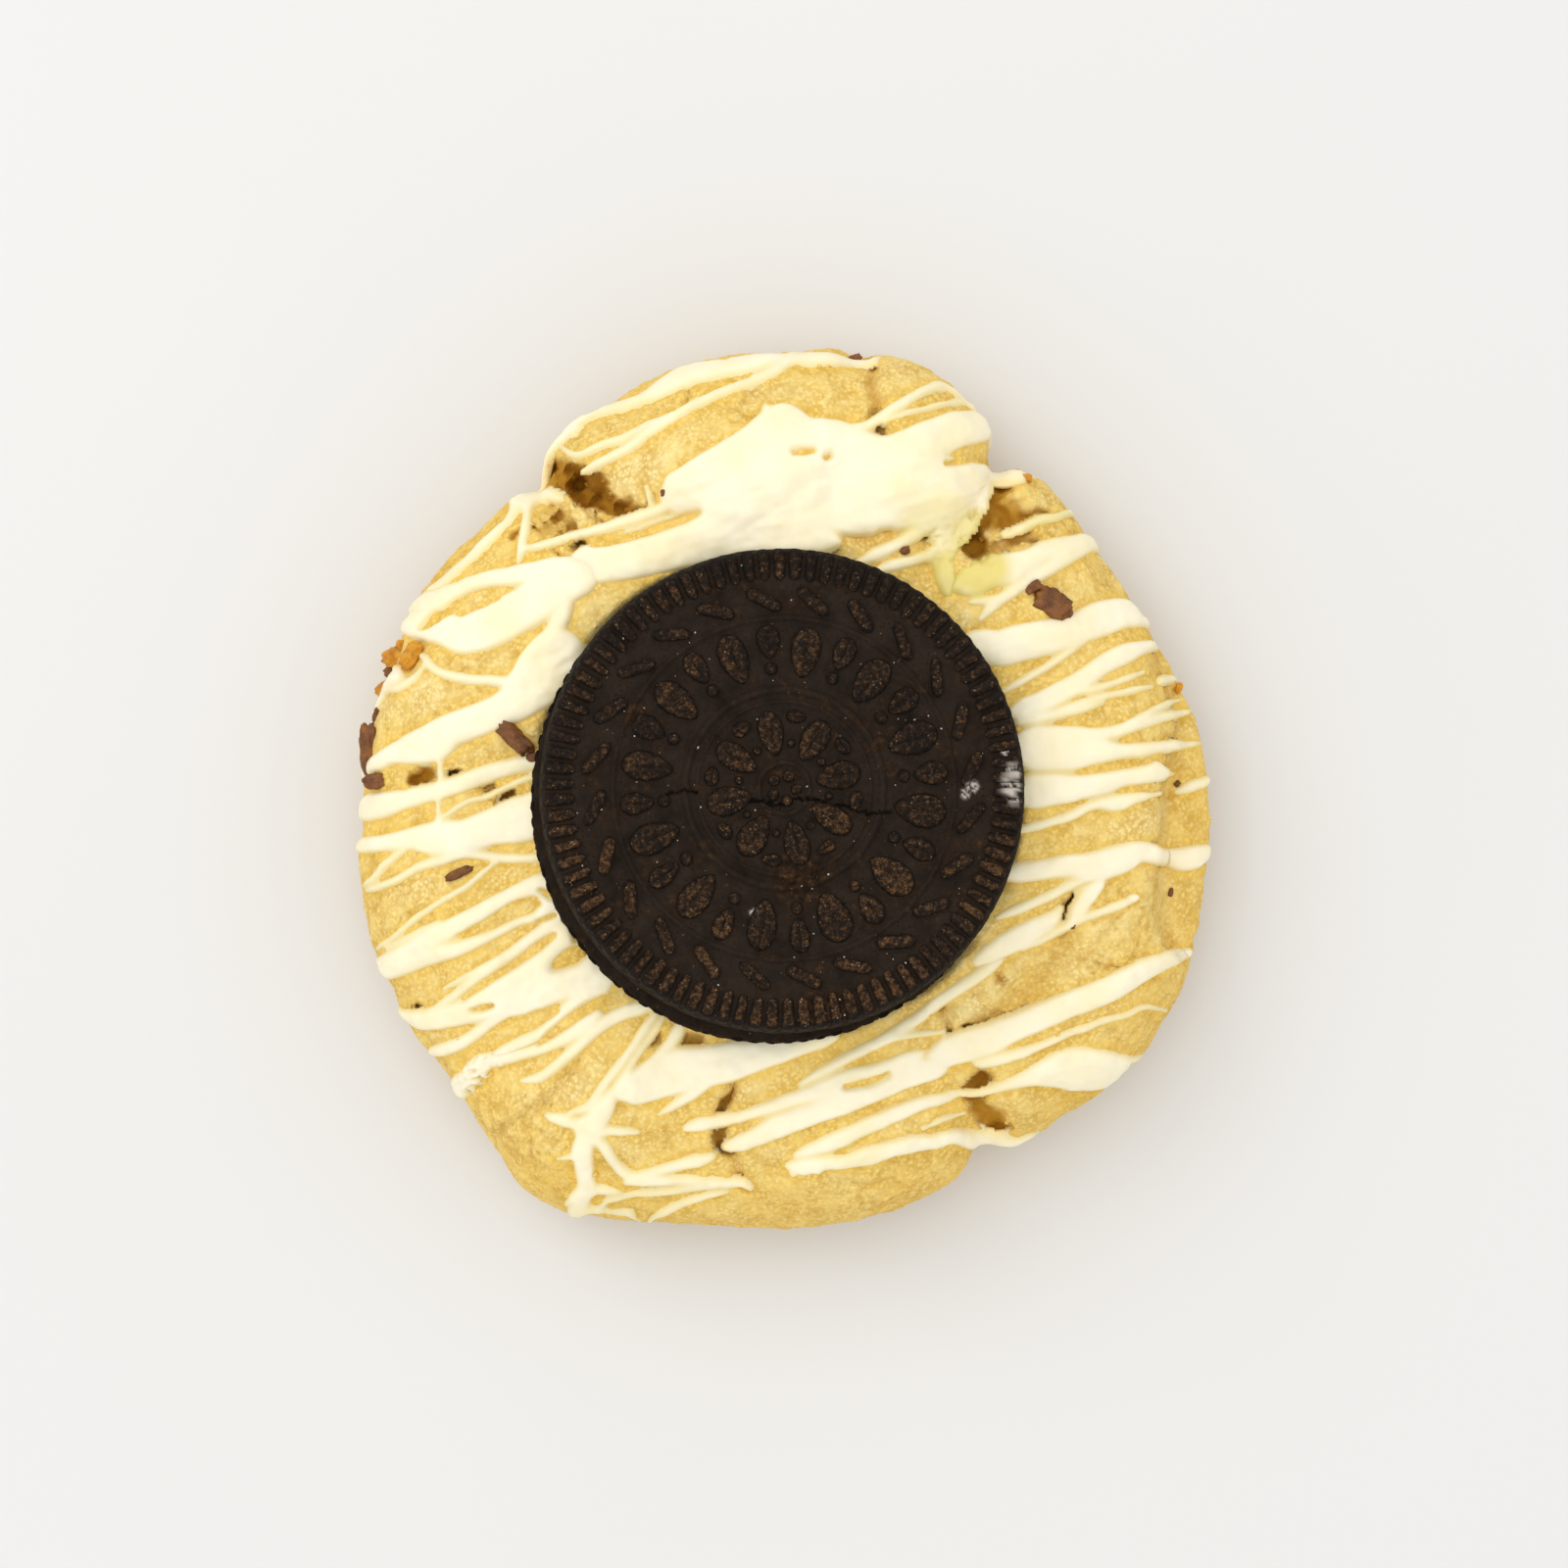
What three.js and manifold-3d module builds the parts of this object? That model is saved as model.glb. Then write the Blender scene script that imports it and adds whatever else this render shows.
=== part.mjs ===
// Cookies and cream cookie: a thick, lumpy baked cookie with white chocolate drizzle,
// chocolate and caramel bits, and a dark cream-filled sandwich biscuit pressed into its top.
// Millimetres, +Z up, origin at the middle of the underside.
import * as THREE from 'three';
import { mergeVertices } from 'three/addons/utils/BufferGeometryUtils.js';
import Module from 'manifold-3d';

const wasm = await Module();
wasm.setup();

// ---- Driving dimensions ----
// Places on top are written as an eye straight above reads them: what lies lower looks
// smaller, so a place read at READ_LEVEL is scaled to the height where it really lies.
const EYE_HEIGHT = 500;
const READ_LEVEL = 19;
// Passes that find the height where a read place really lies.
const READ_PASSES = 4;

const DOUGH_HEIGHT = 24.8;
const WIDEST_LEVEL = 9;
const DOME_POWER = 2.4;
const UNDERCUT = 4.5;
// Below the widest level the top's edge is drawn in by this share, so cracks fade there.
const LOW_EASING = 0.5;
const DOUGH_CENTRE = new THREE.Vector2(-0.2, -0.4);
// Radius of the widest outline, every 15 degrees anticlockwise from +X.
const OUTLINE_RADII = [
  41.3, 39.8, 38.1, 38.5, 40.2, 43.2, 42.0, 41.5, 40.2, 38.4, 39.3, 39.5,
  40.3, 41.8, 42.5, 42.9, 46.0, 43.4, 42.2, 42.2, 41.0, 42.3, 43.3, 41.8,
];
// Notches where a crack runs out over the side: angle, depth, half width in degrees.
const NOTCHES = [[56.5, 3.0, 3.0], [129, 2.0, 3.0], [80, 0.9, 2.5], [299, 1.6, 3.0]];
const DOUGH_COLUMNS = 80;
const DOME_RINGS = 18;
const SIDE_RINGS = 4;
const BASE_RING = 0.5;
const EDGE_MARGIN = 0.001;

// Rounded lumps on top: x, y, radius, height.
const LUMPS = [
  [-5, 34, 14, 1.6], [13, 36, 8, 1.4], [-33, 8, 11, 1.0], [28, 2, 11, 1.0],
  [-24, -33, 10, 1.2], [6, -36, 10, 1.2], [29, -22, 10, 1.0], [-33, -12, 9, 0.6],
];
// Hollows at the two ends of the crack behind the upper lobe: x, y, radius, depth.
const HOLLOWS = [[20.6, 25.6, 4.8, 6.0], [-20.5, 28.3, 4.2, 5.5]];
// Cracks and creases: depth, half width, then the places along them.
const CRACKS = [
  [0.9, 2.6, [[-24, 30], [-17, 27], [-8, 25], [0, 25.5], [9, 24.5], [17, 24], [21, 30]]],
  [1.9, 2.4, [[-24, 30], [-18, 27.6], [-14, 25.8]]],
  [1.9, 2.4, [[14, 24.3], [18, 24], [21, 30]]],
  [1.8, 2.4, [[7.6, 42], [8.3, 38], [8.9, 33]]],
  [2.2, 2.2, [[-4.9, -28], [-6, -32], [-4.5, -36], [-2.8, -40]]],
  [2.8, 2.4, [[18, -28], [18.2, -30.5], [20.4, -33], [21, -38]]],
  [1.5, 2.2, [[28.4, -8.8], [26.2, -12.5], [25.2, -16], [22.5, -20], [17.2, -24]]],
];
// A lower foot of dough runs along the right side, outside this line.
const LEDGE_LINE = [[33.5, 16], [36.4, 8], [36.9, 3.5], [35.7, 0], [35.2, -7], [35.3, -15]];
const LEDGE_DROP = 0.6;
const LEDGE_SLOPE = 1.4;
// Slow swells all over: share of the height, then the waves per mm.
const SWELL_HEIGHT = 0.9;
const BROAD_SWELL = { share: 0.6, across: 0.31, phase: 0.9, along: 0.27, up: -0.22 };
const NARROW_SWELL = { share: 0.4, across: 0.52, back: -0.38, along: 0.44, up: 0.5, phase: 1.7 };

const BISCUIT_RADIUS = 22.5;
const WAFER_THICKNESS = 3.4;
const CREAM_THICKNESS = 2.8;
const CREAM_RADIUS = 20.9;
const BISCUIT_CENTRE = new THREE.Vector3(-1.15, -1.8, 21.4);
const BISCUIT_TILT = THREE.MathUtils.degToRad(5);
const TILT_TOWARDS = THREE.MathUtils.degToRad(51);
const TOP_WAFER_SHIFT = 1.0;
const RIDGE_COUNT = 90;
const RIDGE_DEPTH = 0.45;
const RIM_WIDTH = 3.1;
const WAFER_BEVEL = 0.8;
const WALL_TAPER = 0.3;
const WALL_GROOVE = 0.25;
const PANEL_DEPTH = 0.3;
const CREAM_ROUNDING = 0.5;
const STUD_RADIUS = 4.2;
const STUD_FOOT = 4.8;
const STUD_SIDES = 24;
const SEAT_DEPTH = 20;
const SEAT_SIDES = 72;
const CREAM_SIDES = 48;
const LEAF_SIDES = 8;
const LEAF_RINGS = 4;
const LEAF_COUNT = 12;
const LEAF_RING_RADIUS = 13.2;
const LEAF_LENGTH = 4.6;
const LEAF_WIDTH = 2.0;
const RELIEF_HEIGHT = 0.45;
const GAP = 0.3;

// ---- Drizzle: thick strands as [x, y, width], read from above ----
const STRANDS = [
  [[-20.5, 34, 1.8], [-12, 36.8, 1.7], [-4, 39, 1.9], [7, 39.7, 1.4]],
  [[-19, 30, 1.4], [-12.5, 33.2, 1.4], [-3, 38.2, 1.3]],
  [[-25, 25.5, 1.4], [-29, 22, 1.2], [-33, 18.4, 1.5]],
  [[-11, 27, 3], [-4, 29.6, 6], [3, 30.5, 8], [11, 29.5, 7], [18, 27.8, 4]],
  [[-3, 32.4, 3.4], [1.4, 34.6, 3.2]],
  [[8, 32, 3.6], [14, 32.6, 4], [18.8, 33.9, 2.8]],
  [[7.6, 33.8, 1.3], [13.6, 37.2, 1.4], [18, 35.6, 1.4]],
  [[-34, 16.9, 2.2], [-28, 19.2, 2.2], [-18, 21.3, 3.4], [-10, 23.8, 4.4]],
  [[-34.6, 14.2, 2.6], [-28, 14.9, 4], [-20, 18.4, 4.4]],
  [[-39, 1.9, 2], [-34, 3.8, 3.2], [-28, 6.5, 3.4], [-22, 9.8, 4.6]],
  [[-39.6, -2.2, 2.6], [-34, -1.1, 1.8], [-22.5, 1.5, 2]],
  [[-39.6, -5.8, 1.8], [-34, -5, 2.8], [-28, -4.4, 3.8], [-22.5, -2.6, 4.6]],
  [[-38.5, -9.5, 1.3], [-33, -7.4, 1.3], [-22.8, -6.9, 1.3]],
  [[-38, -16.8, 1.8], [-33, -14.4, 2.2], [-27, -11.1, 1.9], [-22.5, -9.3, 2.2]],
  [[-35.5, -22.2, 2.4], [-29.5, -21.2, 2.8], [-24, -18.9, 4.8], [-17, -16.8, 5]],
  [[-33, -25.2, 1.6], [-25, -23.9, 1.7], [-17, -19.8, 1.7]],
  [[-24.8, -28, 1.5], [-20, -25.3, 1.6], [-14, -21.3, 1.9]],
  [[-12.2, -22.4, 1.4], [-16, -26.4, 1.5], [-18.8, -31.6, 2.4], [-18.8, -38.6, 1.8]],
  [[-15.5, -29, 3], [-8, -26.8, 4], [0, -24.9, 2.6]],
  [[-17.4, -34.4, 1.5], [-14.4, -36.8, 1.5], [-6.6, -34.9, 1.8]],
  [[-9, -32.3, 1.6], [-2, -30.6, 2], [6, -28.4, 2.4], [14, -25.6, 2.8]],
  [[-5, -34, 1.8], [1, -31.7, 2.2], [9, -28.9, 2], [15, -26.8, 2.4]],
  [[14, -25.6, 2.8], [21.5, -23, 2.8], [29, -20, 2.6], [37, -16.2, 1.6]],
  [[18, -26.5, 1.6], [24, -24.7, 1.4], [34, -21, 1.3]],
  [[1, -35, 1.6], [9, -31.8, 1.8], [17, -29.4, 1.5], [29, -26.8, 4], [32.2, -26, 2]],
  [[1, -35.9, 1.7], [8, -35, 1.8], [15, -33.6, 1.7]],
  [[19.8, 13, 3.2], [25, 13.9, 3.2], [33.2, 15.7, 2]],
  [[22.8, 7.2, 2], [28, 9.8, 2], [34.4, 12.9, 1.5]],
  [[24, 4, 3.6], [29, 4.1, 2.6], [36.2, 6.4, 1.3]],
  [[23.5, 1, 4.2], [28, 0.2, 2.8], [35.6, 1.1, 2]],
  [[22, -8.4, 2], [29, -7.8, 2.8], [34, -6.6, 2.2], [39.2, -6.9, 2.2]],
  [[29.8, -9.2, 2], [27, -12.6, 1.6], [21, -15.2, 1.8]],
  [[19.5, 15.6, 1.4], [28.2, 22.4, 1.6]],
];
const STRAND_STEP = 4.4;
const STRAND_SIDES = 6;
const STRAND_MIN_HEIGHT = 0.6;
const STRAND_MAX_HEIGHT = 1.3;
const STRAND_RISE_PER_WIDTH = 0.15;
const STRAND_FEWEST_STATIONS = 4;
const STRAND_LIFT = 0.3;
const TIP_ROUNDING = 0.4;
const TIP_WIDTH = 0.8;
// Where a strand runs over the edge it stays at this share of the outline.
const OUTERMOST_SHARE = 0.985;

// ---- Bits of chocolate and caramel: x, y, length, width, height, turn in degrees ----
const BIT_RADIUS = 0.56;
const BITS = [
  [25, 17.1, 4.6, 3.2, 3.0, -20], [-24.9, 4.3, 3.2, 2.4, 2.2, 50],
  [-39.6, 3.4, 5.2, 2.4, 3.2, 95], [-38.2, 0.3, 3.4, 2.0, 2.2, 10],
  [-35.1, 12.1, 3.4, 1.9, 2.6, 60], [-37.6, 12.2, 3.2, 2.2, 2.4, 25],
  [-40.2, 9.7, 2.6, 1.8, 2.2, 35],
];

// ---- Materials ----
const doughMaterial = new THREE.MeshStandardMaterial({ color: 0xdfba66, roughness: 0.85, metalness: 0 });
const waferMaterial = new THREE.MeshStandardMaterial({ color: 0x33302e, roughness: 0.7, metalness: 0 });
const creamMaterial = new THREE.MeshStandardMaterial({ color: 0xf6f0e2, roughness: 0.6, metalness: 0 });

// ---- Solids and meshes ----
function closedGeometry(source) {
  const bare = source.clone();
  bare.deleteAttribute('normal');
  bare.deleteAttribute('uv');
  const merged = mergeVertices(bare, 1e-4);
  const corners = merged.index.array;
  const kept = [];
  for (let i = 0; i < corners.length; i += 3) {
    const [a, b, c] = [corners[i], corners[i + 1], corners[i + 2]];
    if (a !== b && b !== c && c !== a) kept.push(a, b, c);
  }
  merged.setIndex(kept);
  return merged;
}

function toSolid(source) {
  const geometry = closedGeometry(source);
  return new wasm.Manifold(new wasm.Mesh({
    numProp: 3,
    vertProperties: new Float32Array(geometry.attributes.position.array),
    triVerts: new Uint32Array(geometry.index.array),
  }));
}

function toGeometry(solid) {
  const mesh = solid.getMesh();
  const geometry = new THREE.BufferGeometry();
  const positions = new Float32Array(mesh.vertProperties);
  geometry.setAttribute('position', new THREE.BufferAttribute(positions, 3));
  geometry.setIndex(Array.from(mesh.triVerts));
  geometry.computeVertexNormals();
  return geometry;
}

function largestBody(solid) {
  const bodies = solid.decompose();
  bodies.sort((a, b) => b.volume() - a.volume());
  return bodies[0];
}

function movePoints(geometry, place) {
  const position = geometry.attributes.position;
  const point = new THREE.Vector3();
  for (let i = 0; i < position.count; i += 1) {
    point.fromBufferAttribute(position, i);
    place(point);
    position.setXYZ(i, point.x, point.y, point.z);
  }
  return geometry;
}

// ---- Dough surface ----
function smoothStep(low, high, value) {
  return THREE.MathUtils.smoothstep(value, low, high);
}

function outlineRadius(angle) {
  const count = OUTLINE_RADII.length;
  const place = THREE.MathUtils.euclideanModulo((angle / (2 * Math.PI)) * count, count);
  const before = Math.floor(place);
  const along = place - before;
  const [r0, r1, r2, r3] = [-1, 0, 1, 2].map((k) => OUTLINE_RADII[(before + k + count) % count]);
  let radius = 0.5 * ((2 * r1) + (r2 - r0) * along
    + (2 * r0 - 5 * r1 + 4 * r2 - r3) * along ** 2
    + (3 * r1 - r0 - 3 * r2 + r3) * along ** 3);
  for (const [middle, depth, halfWidth] of NOTCHES) {
    const turn = THREE.MathUtils.radToDeg(angle) - middle;
    const off = THREE.MathUtils.euclideanModulo(turn + 180, 360) - 180;
    radius -= depth * Math.exp(-((off / halfWidth) ** 2));
  }
  return radius;
}

function distanceToPath(x, y, path) {
  let nearest = Infinity;
  for (let i = 0; i + 1 < path.length; i += 1) {
    const [ax, ay] = path[i];
    const [bx, by] = path[i + 1];
    const lengthSquared = (bx - ax) ** 2 + (by - ay) ** 2;
    const along = ((x - ax) * (bx - ax) + (y - ay) * (by - ay)) / lengthSquared;
    const t = THREE.MathUtils.clamp(along, 0, 1);
    nearest = Math.min(nearest, Math.hypot(x - ax - t * (bx - ax), y - ay - t * (by - ay)));
  }
  return nearest;
}

function ledgeX(y) {
  const last = LEDGE_LINE.length - 1;
  if (y >= LEDGE_LINE[0][1]) return LEDGE_LINE[0][0] + (y - LEDGE_LINE[0][1]);
  for (let i = 0; i < last; i += 1) {
    const [topX, topY] = LEDGE_LINE[i];
    const [lowX, lowY] = LEDGE_LINE[i + 1];
    if (y >= lowY) return lowX + ((topX - lowX) * (y - lowY)) / (topY - lowY);
  }
  return LEDGE_LINE[last][0] + (LEDGE_LINE[last][1] - y);
}

// Height of the dough's top over a place, with or without its cracks.
function doughTop(x, y, share, withCracks) {
  const flat = Math.max(0, 1 - share ** DOME_POWER) ** (1 / DOME_POWER);
  const nominal = WIDEST_LEVEL + (DOUGH_HEIGHT - WIDEST_LEVEL) * flat;
  const toRead = (EYE_HEIGHT - READ_LEVEL) / (EYE_HEIGHT - nominal);
  const [readX, readY] = [x * toRead, y * toRead];
  let height = nominal;
  for (const [lumpX, lumpY, radius, rise] of LUMPS) {
    const off = Math.min(1, Math.hypot(readX - lumpX, readY - lumpY) / radius);
    height += rise * (1 - off ** 2) ** 2;
  }
  const outside = smoothStep(-0.2, LEDGE_SLOPE, readX - ledgeX(readY));
  height -= LEDGE_DROP * outside * (height - WIDEST_LEVEL);
  if (withCracks) {
    for (const [hollowX, hollowY, radius, depth] of HOLLOWS) {
      const off = Math.min(1, Math.hypot(readX - hollowX, readY - hollowY) / radius);
      height -= depth * (1 - off ** 2) ** 2;
    }
    for (const [depth, halfWidth, path] of CRACKS) {
      const off = distanceToPath(readX, readY, path) / halfWidth;
      height -= depth * Math.exp(-(off ** 2));
    }
  }
  height += swell(x, y, height) * flat;
  const below = Math.min(0, height - WIDEST_LEVEL);
  return height - LOW_EASING * below;
}

// Slow swells all over, as hand-scooped dough has.
function swell(x, y, z) {
  const { share: broadShare, across, phase, along, up } = BROAD_SWELL;
  const broad = Math.sin(across * x + phase) * Math.cos(along * y + up * z);
  const fine = NARROW_SWELL;
  const waveUp = Math.cos(fine.along * y + fine.up * z + fine.phase);
  const narrow = Math.sin(fine.across * x + fine.back * y) * waveUp;
  return SWELL_HEIGHT * (broadShare * broad + fine.share * narrow);
}

function shareOfRadius(x, y) {
  const angle = Math.atan2(y - DOUGH_CENTRE.y, x - DOUGH_CENTRE.x);
  return Math.hypot(x - DOUGH_CENTRE.x, y - DOUGH_CENTRE.y) / outlineRadius(angle);
}

// The profile runs from the middle of the base, out and up over the side to the top.
function doughProfile() {
  const points = [new THREE.Vector2(0, 0), new THREE.Vector2(BASE_RING, 0)];
  for (let i = 0; i < SIDE_RINGS; i += 1) {
    const down = 1 - i / SIDE_RINGS;
    points.push(new THREE.Vector2(1 + down, 0));
  }
  for (let i = 0; i < DOME_RINGS; i += 1) {
    const lean = (Math.PI / 2) * (1 - i / DOME_RINGS);
    points.push(new THREE.Vector2(Math.sin(lean) ** (2 / DOME_POWER), 1));
  }
  points.push(new THREE.Vector2(0, 1));
  return points;
}

function buildDough() {
  const lathe = new THREE.LatheGeometry(doughProfile(), DOUGH_COLUMNS);
  lathe.rotateX(Math.PI / 2);
  const dough = movePoints(lathe, (point) => {
    const angle = Math.atan2(point.y, point.x);
    const reach = Math.hypot(point.x, point.y);
    const radius = outlineRadius(angle);
    const onTop = point.z > EDGE_MARGIN;
    const down = onTop ? 0 : Math.max(0, reach - 1);
    const share = onTop ? reach : Math.min(reach, 1);
    const bulge = swell(radius * Math.cos(angle), radius * Math.sin(angle), WIDEST_LEVEL * (1 - down));
    const spread = share * radius - (onTop ? 0 : UNDERCUT * down ** 2 + bulge * Math.sin(Math.PI * down));
    point.x = DOUGH_CENTRE.x + spread * Math.cos(angle);
    point.y = DOUGH_CENTRE.y + spread * Math.sin(angle);
    point.z = onTop ? doughTop(point.x, point.y, share, true) : WIDEST_LEVEL * (1 - down);
    if (reach < 1 - EDGE_MARGIN && !onTop) point.z = 0;
  });
  return dough;
}

// ---- Drizzle ----
function onDough(readX, readY) {
  let height = READ_LEVEL;
  let [x, y] = [readX, readY];
  for (let i = 0; i < READ_PASSES; i += 1) {
    const toTrue = (EYE_HEIGHT - height) / (EYE_HEIGHT - READ_LEVEL);
    [x, y] = [readX * toTrue, readY * toTrue];
    height = doughTop(x, y, Math.min(OUTERMOST_SHARE, shareOfRadius(x, y)), false);
  }
  return new THREE.Vector3(x, y, height);
}

function strandHeight(width) {
  return Math.min(STRAND_MAX_HEIGHT, STRAND_MIN_HEIGHT + STRAND_RISE_PER_WIDTH * width);
}

function strandGeometry(places) {
  const route = new THREE.CatmullRomCurve3(places.map(([x, y, width]) => new THREE.Vector3(x, y, width)));
  const stations = Math.max(STRAND_FEWEST_STATIONS, Math.round(route.getLength() / STRAND_STEP));
  const strand = new THREE.SphereGeometry(1, STRAND_SIDES, stations);
  const tip = (TIP_ROUNDING * places[0][2]) / route.getLength();
  return movePoints(strand, (point) => {
    const polar = Math.acos(THREE.MathUtils.clamp(point.y, -1, 1));
    const row = Math.round((polar / Math.PI) * stations);
    const atEnd = row === 0 || row === stations;
    const inner = THREE.MathUtils.clamp((row - 1) / (stations - 2), 0, 1);
    const share = atEnd ? row / stations : tip + (1 - 2 * tip) * inner;
    const full = row === 1 || row === stations - 1 ? TIP_WIDTH : 1;
    const spread = (atEnd ? 0 : full) / Math.max(EDGE_MARGIN, Math.hypot(point.x, point.z));
    const place = route.getPointAt(share);
    const along = route.getTangentAt(share).setZ(0).normalize();
    const sideways = point.x * spread * (place.z / 2);
    const up = point.z * spread * strandHeight(place.z);
    point.copy(onDough(place.x - along.y * sideways, place.y + along.x * sideways));
    point.z += STRAND_LIFT + up;
  });
}

// ---- Bits ----
function bitGeometry([x, y, length, width, height, turn]) {
  const bit = new THREE.DodecahedronGeometry(BIT_RADIUS);
  const middle = onDough(x, y);
  bit.scale(length, width, height);
  bit.rotateZ(THREE.MathUtils.degToRad(turn));
  bit.translate(middle.x, middle.y, middle.z);
  return bit;
}

// ---- Sandwich biscuit ----
// A wafer stands on its flat inner face, with the ridged rim and the design on its outer face.
function waferProfile(radius, thickness) {
  return [
    [0, 0], [radius, 0], [radius - WALL_TAPER, thickness - WAFER_BEVEL], [radius - WAFER_BEVEL, thickness],
    [radius - RIM_WIDTH, thickness], [radius - RIM_WIDTH - PANEL_DEPTH, thickness - PANEL_DEPTH],
    [0, thickness - PANEL_DEPTH],
  ].map(([r, z]) => new THREE.Vector2(r, z));
}

function waferGeometry() {
  const wafer = new THREE.LatheGeometry(waferProfile(BISCUIT_RADIUS, WAFER_THICKNESS), RIDGE_COUNT * 2);
  wafer.rotateX(Math.PI / 2);
  wafer.rotateZ(Math.PI / 2);
  const onRim = BISCUIT_RADIUS - RIM_WIDTH / 2;
  const onWall = BISCUIT_RADIUS - WAFER_BEVEL;
  return movePoints(wafer, (point) => {
    const angle = Math.atan2(point.y, point.x);
    const groove = 0.5 - 0.5 * Math.cos(angle * RIDGE_COUNT);
    const reach = Math.hypot(point.x, point.y);
    const onTop = point.z > WAFER_THICKNESS - PANEL_DEPTH / 2;
    if (onTop && reach > onRim) point.z -= RIDGE_DEPTH * groove;
    if (reach > onWall && point.z > EDGE_MARGIN) {
      point.x *= 1 - (WALL_GROOVE * groove) / reach;
      point.y *= 1 - (WALL_GROOVE * groove) / reach;
    }
  });
}

function leafGeometry(angle) {
  const leaf = new THREE.SphereGeometry(1, LEAF_SIDES, LEAF_RINGS);
  leaf.scale(LEAF_LENGTH / 2, LEAF_WIDTH / 2, RELIEF_HEIGHT);
  leaf.translate(LEAF_RING_RADIUS, 0, WAFER_THICKNESS - PANEL_DEPTH);
  leaf.rotateZ(angle);
  return leaf;
}

function centreStud() {
  const stud = new THREE.CylinderGeometry(STUD_RADIUS, STUD_FOOT, RELIEF_HEIGHT * 2, STUD_SIDES);
  stud.rotateX(Math.PI / 2);
  stud.translate(0, 0, WAFER_THICKNESS - PANEL_DEPTH);
  return stud;
}

function topWaferGeometry() {
  let wafer = toSolid(waferGeometry());
  for (let i = 0; i < LEAF_COUNT; i += 1) {
    wafer = wafer.add(toSolid(leafGeometry((i * 2 * Math.PI) / LEAF_COUNT)));
  }
  return toGeometry(wafer.add(toSolid(centreStud())));
}

function creamGeometry() {
  const thickness = CREAM_THICKNESS - 2 * GAP;
  const cream = new THREE.LatheGeometry([
    [0, 0], [CREAM_RADIUS - CREAM_ROUNDING, 0], [CREAM_RADIUS, CREAM_ROUNDING],
    [CREAM_RADIUS, thickness - CREAM_ROUNDING], [CREAM_RADIUS - CREAM_ROUNDING, thickness], [0, thickness],
  ].map(([r, z]) => new THREE.Vector2(r, z)), CREAM_SIDES);
  return cream.rotateX(Math.PI / 2);
}

// The room that the biscuit takes in the dough, with the gap all round.
function seatGeometry() {
  const radius = BISCUIT_RADIUS + TOP_WAFER_SHIFT / 2 + GAP;
  const seat = new THREE.CylinderGeometry(radius, radius, SEAT_DEPTH, SEAT_SIDES);
  seat.rotateX(Math.PI / 2);
  return seat.translate(TOP_WAFER_SHIFT / 2, 0, SEAT_DEPTH / 2 - GAP);
}

// ---- The scene graph ----
const cookie = new THREE.Group();
const biscuit = new THREE.Group();
biscuit.position.copy(BISCUIT_CENTRE);
const tiltAxis = new THREE.Vector3(-Math.sin(TILT_TOWARDS), Math.cos(TILT_TOWARDS), 0);
const tilt = new THREE.Quaternion().setFromAxisAngle(tiltAxis, BISCUIT_TILT);
const turn = new THREE.Quaternion().setFromAxisAngle(new THREE.Vector3(0, 0, 1), TILT_TOWARDS);
biscuit.quaternion.copy(tilt).multiply(turn);
biscuit.updateMatrix();

function addMesh(parent, name, geometry, material) {
  const mesh = new THREE.Mesh(geometry, material);
  mesh.name = name;
  parent.add(mesh);
  return mesh;
}

let doughSolid = toSolid(buildDough());
for (const places of STRANDS) doughSolid = doughSolid.add(toSolid(strandGeometry(places)));
for (const bit of BITS) doughSolid = doughSolid.add(toSolid(bitGeometry(bit)));
doughSolid = doughSolid.subtract(toSolid(seatGeometry().applyMatrix4(biscuit.matrix)));
addMesh(cookie, 'cookie_dough', toGeometry(largestBody(doughSolid)), doughMaterial);

const lower = addMesh(biscuit, 'wafer_bottom', closedGeometry(waferGeometry()), waferMaterial);
lower.rotation.x = Math.PI;
lower.position.z = WAFER_THICKNESS;
const cream = addMesh(biscuit, 'cream_filling', closedGeometry(creamGeometry()), creamMaterial);
cream.position.set(TOP_WAFER_SHIFT / 2, 0, WAFER_THICKNESS + GAP);
const upper = addMesh(biscuit, 'wafer_top', topWaferGeometry(), waferMaterial);
upper.position.set(TOP_WAFER_SHIFT, 0, WAFER_THICKNESS + CREAM_THICKNESS);
cookie.add(biscuit);

// The origin goes to the middle of the box round the whole cookie, on its underside.
cookie.updateMatrixWorld(true);
const box = new THREE.Box3().setFromObject(cookie, true);
const middle = box.getCenter(new THREE.Vector3());
cookie.position.set(-middle.x, -middle.y, -box.min.z);

export default cookie;
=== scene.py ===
"""Looks of a cookies and cream cookie, built round its solid frame.

Lengths are in millimetres unless a name says otherwise, in the cookie's own design frame, and
become metres when a mesh is made. Places on top are written as an eye straight above reads
them, with everything scaled to the height READ_LEVEL.
"""
import math

import bmesh
import bpy
import numpy as np
from bpy.props import FloatProperty, FloatVectorProperty, IntProperty, PointerProperty
from mathutils import Matrix, Vector, noise


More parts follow.
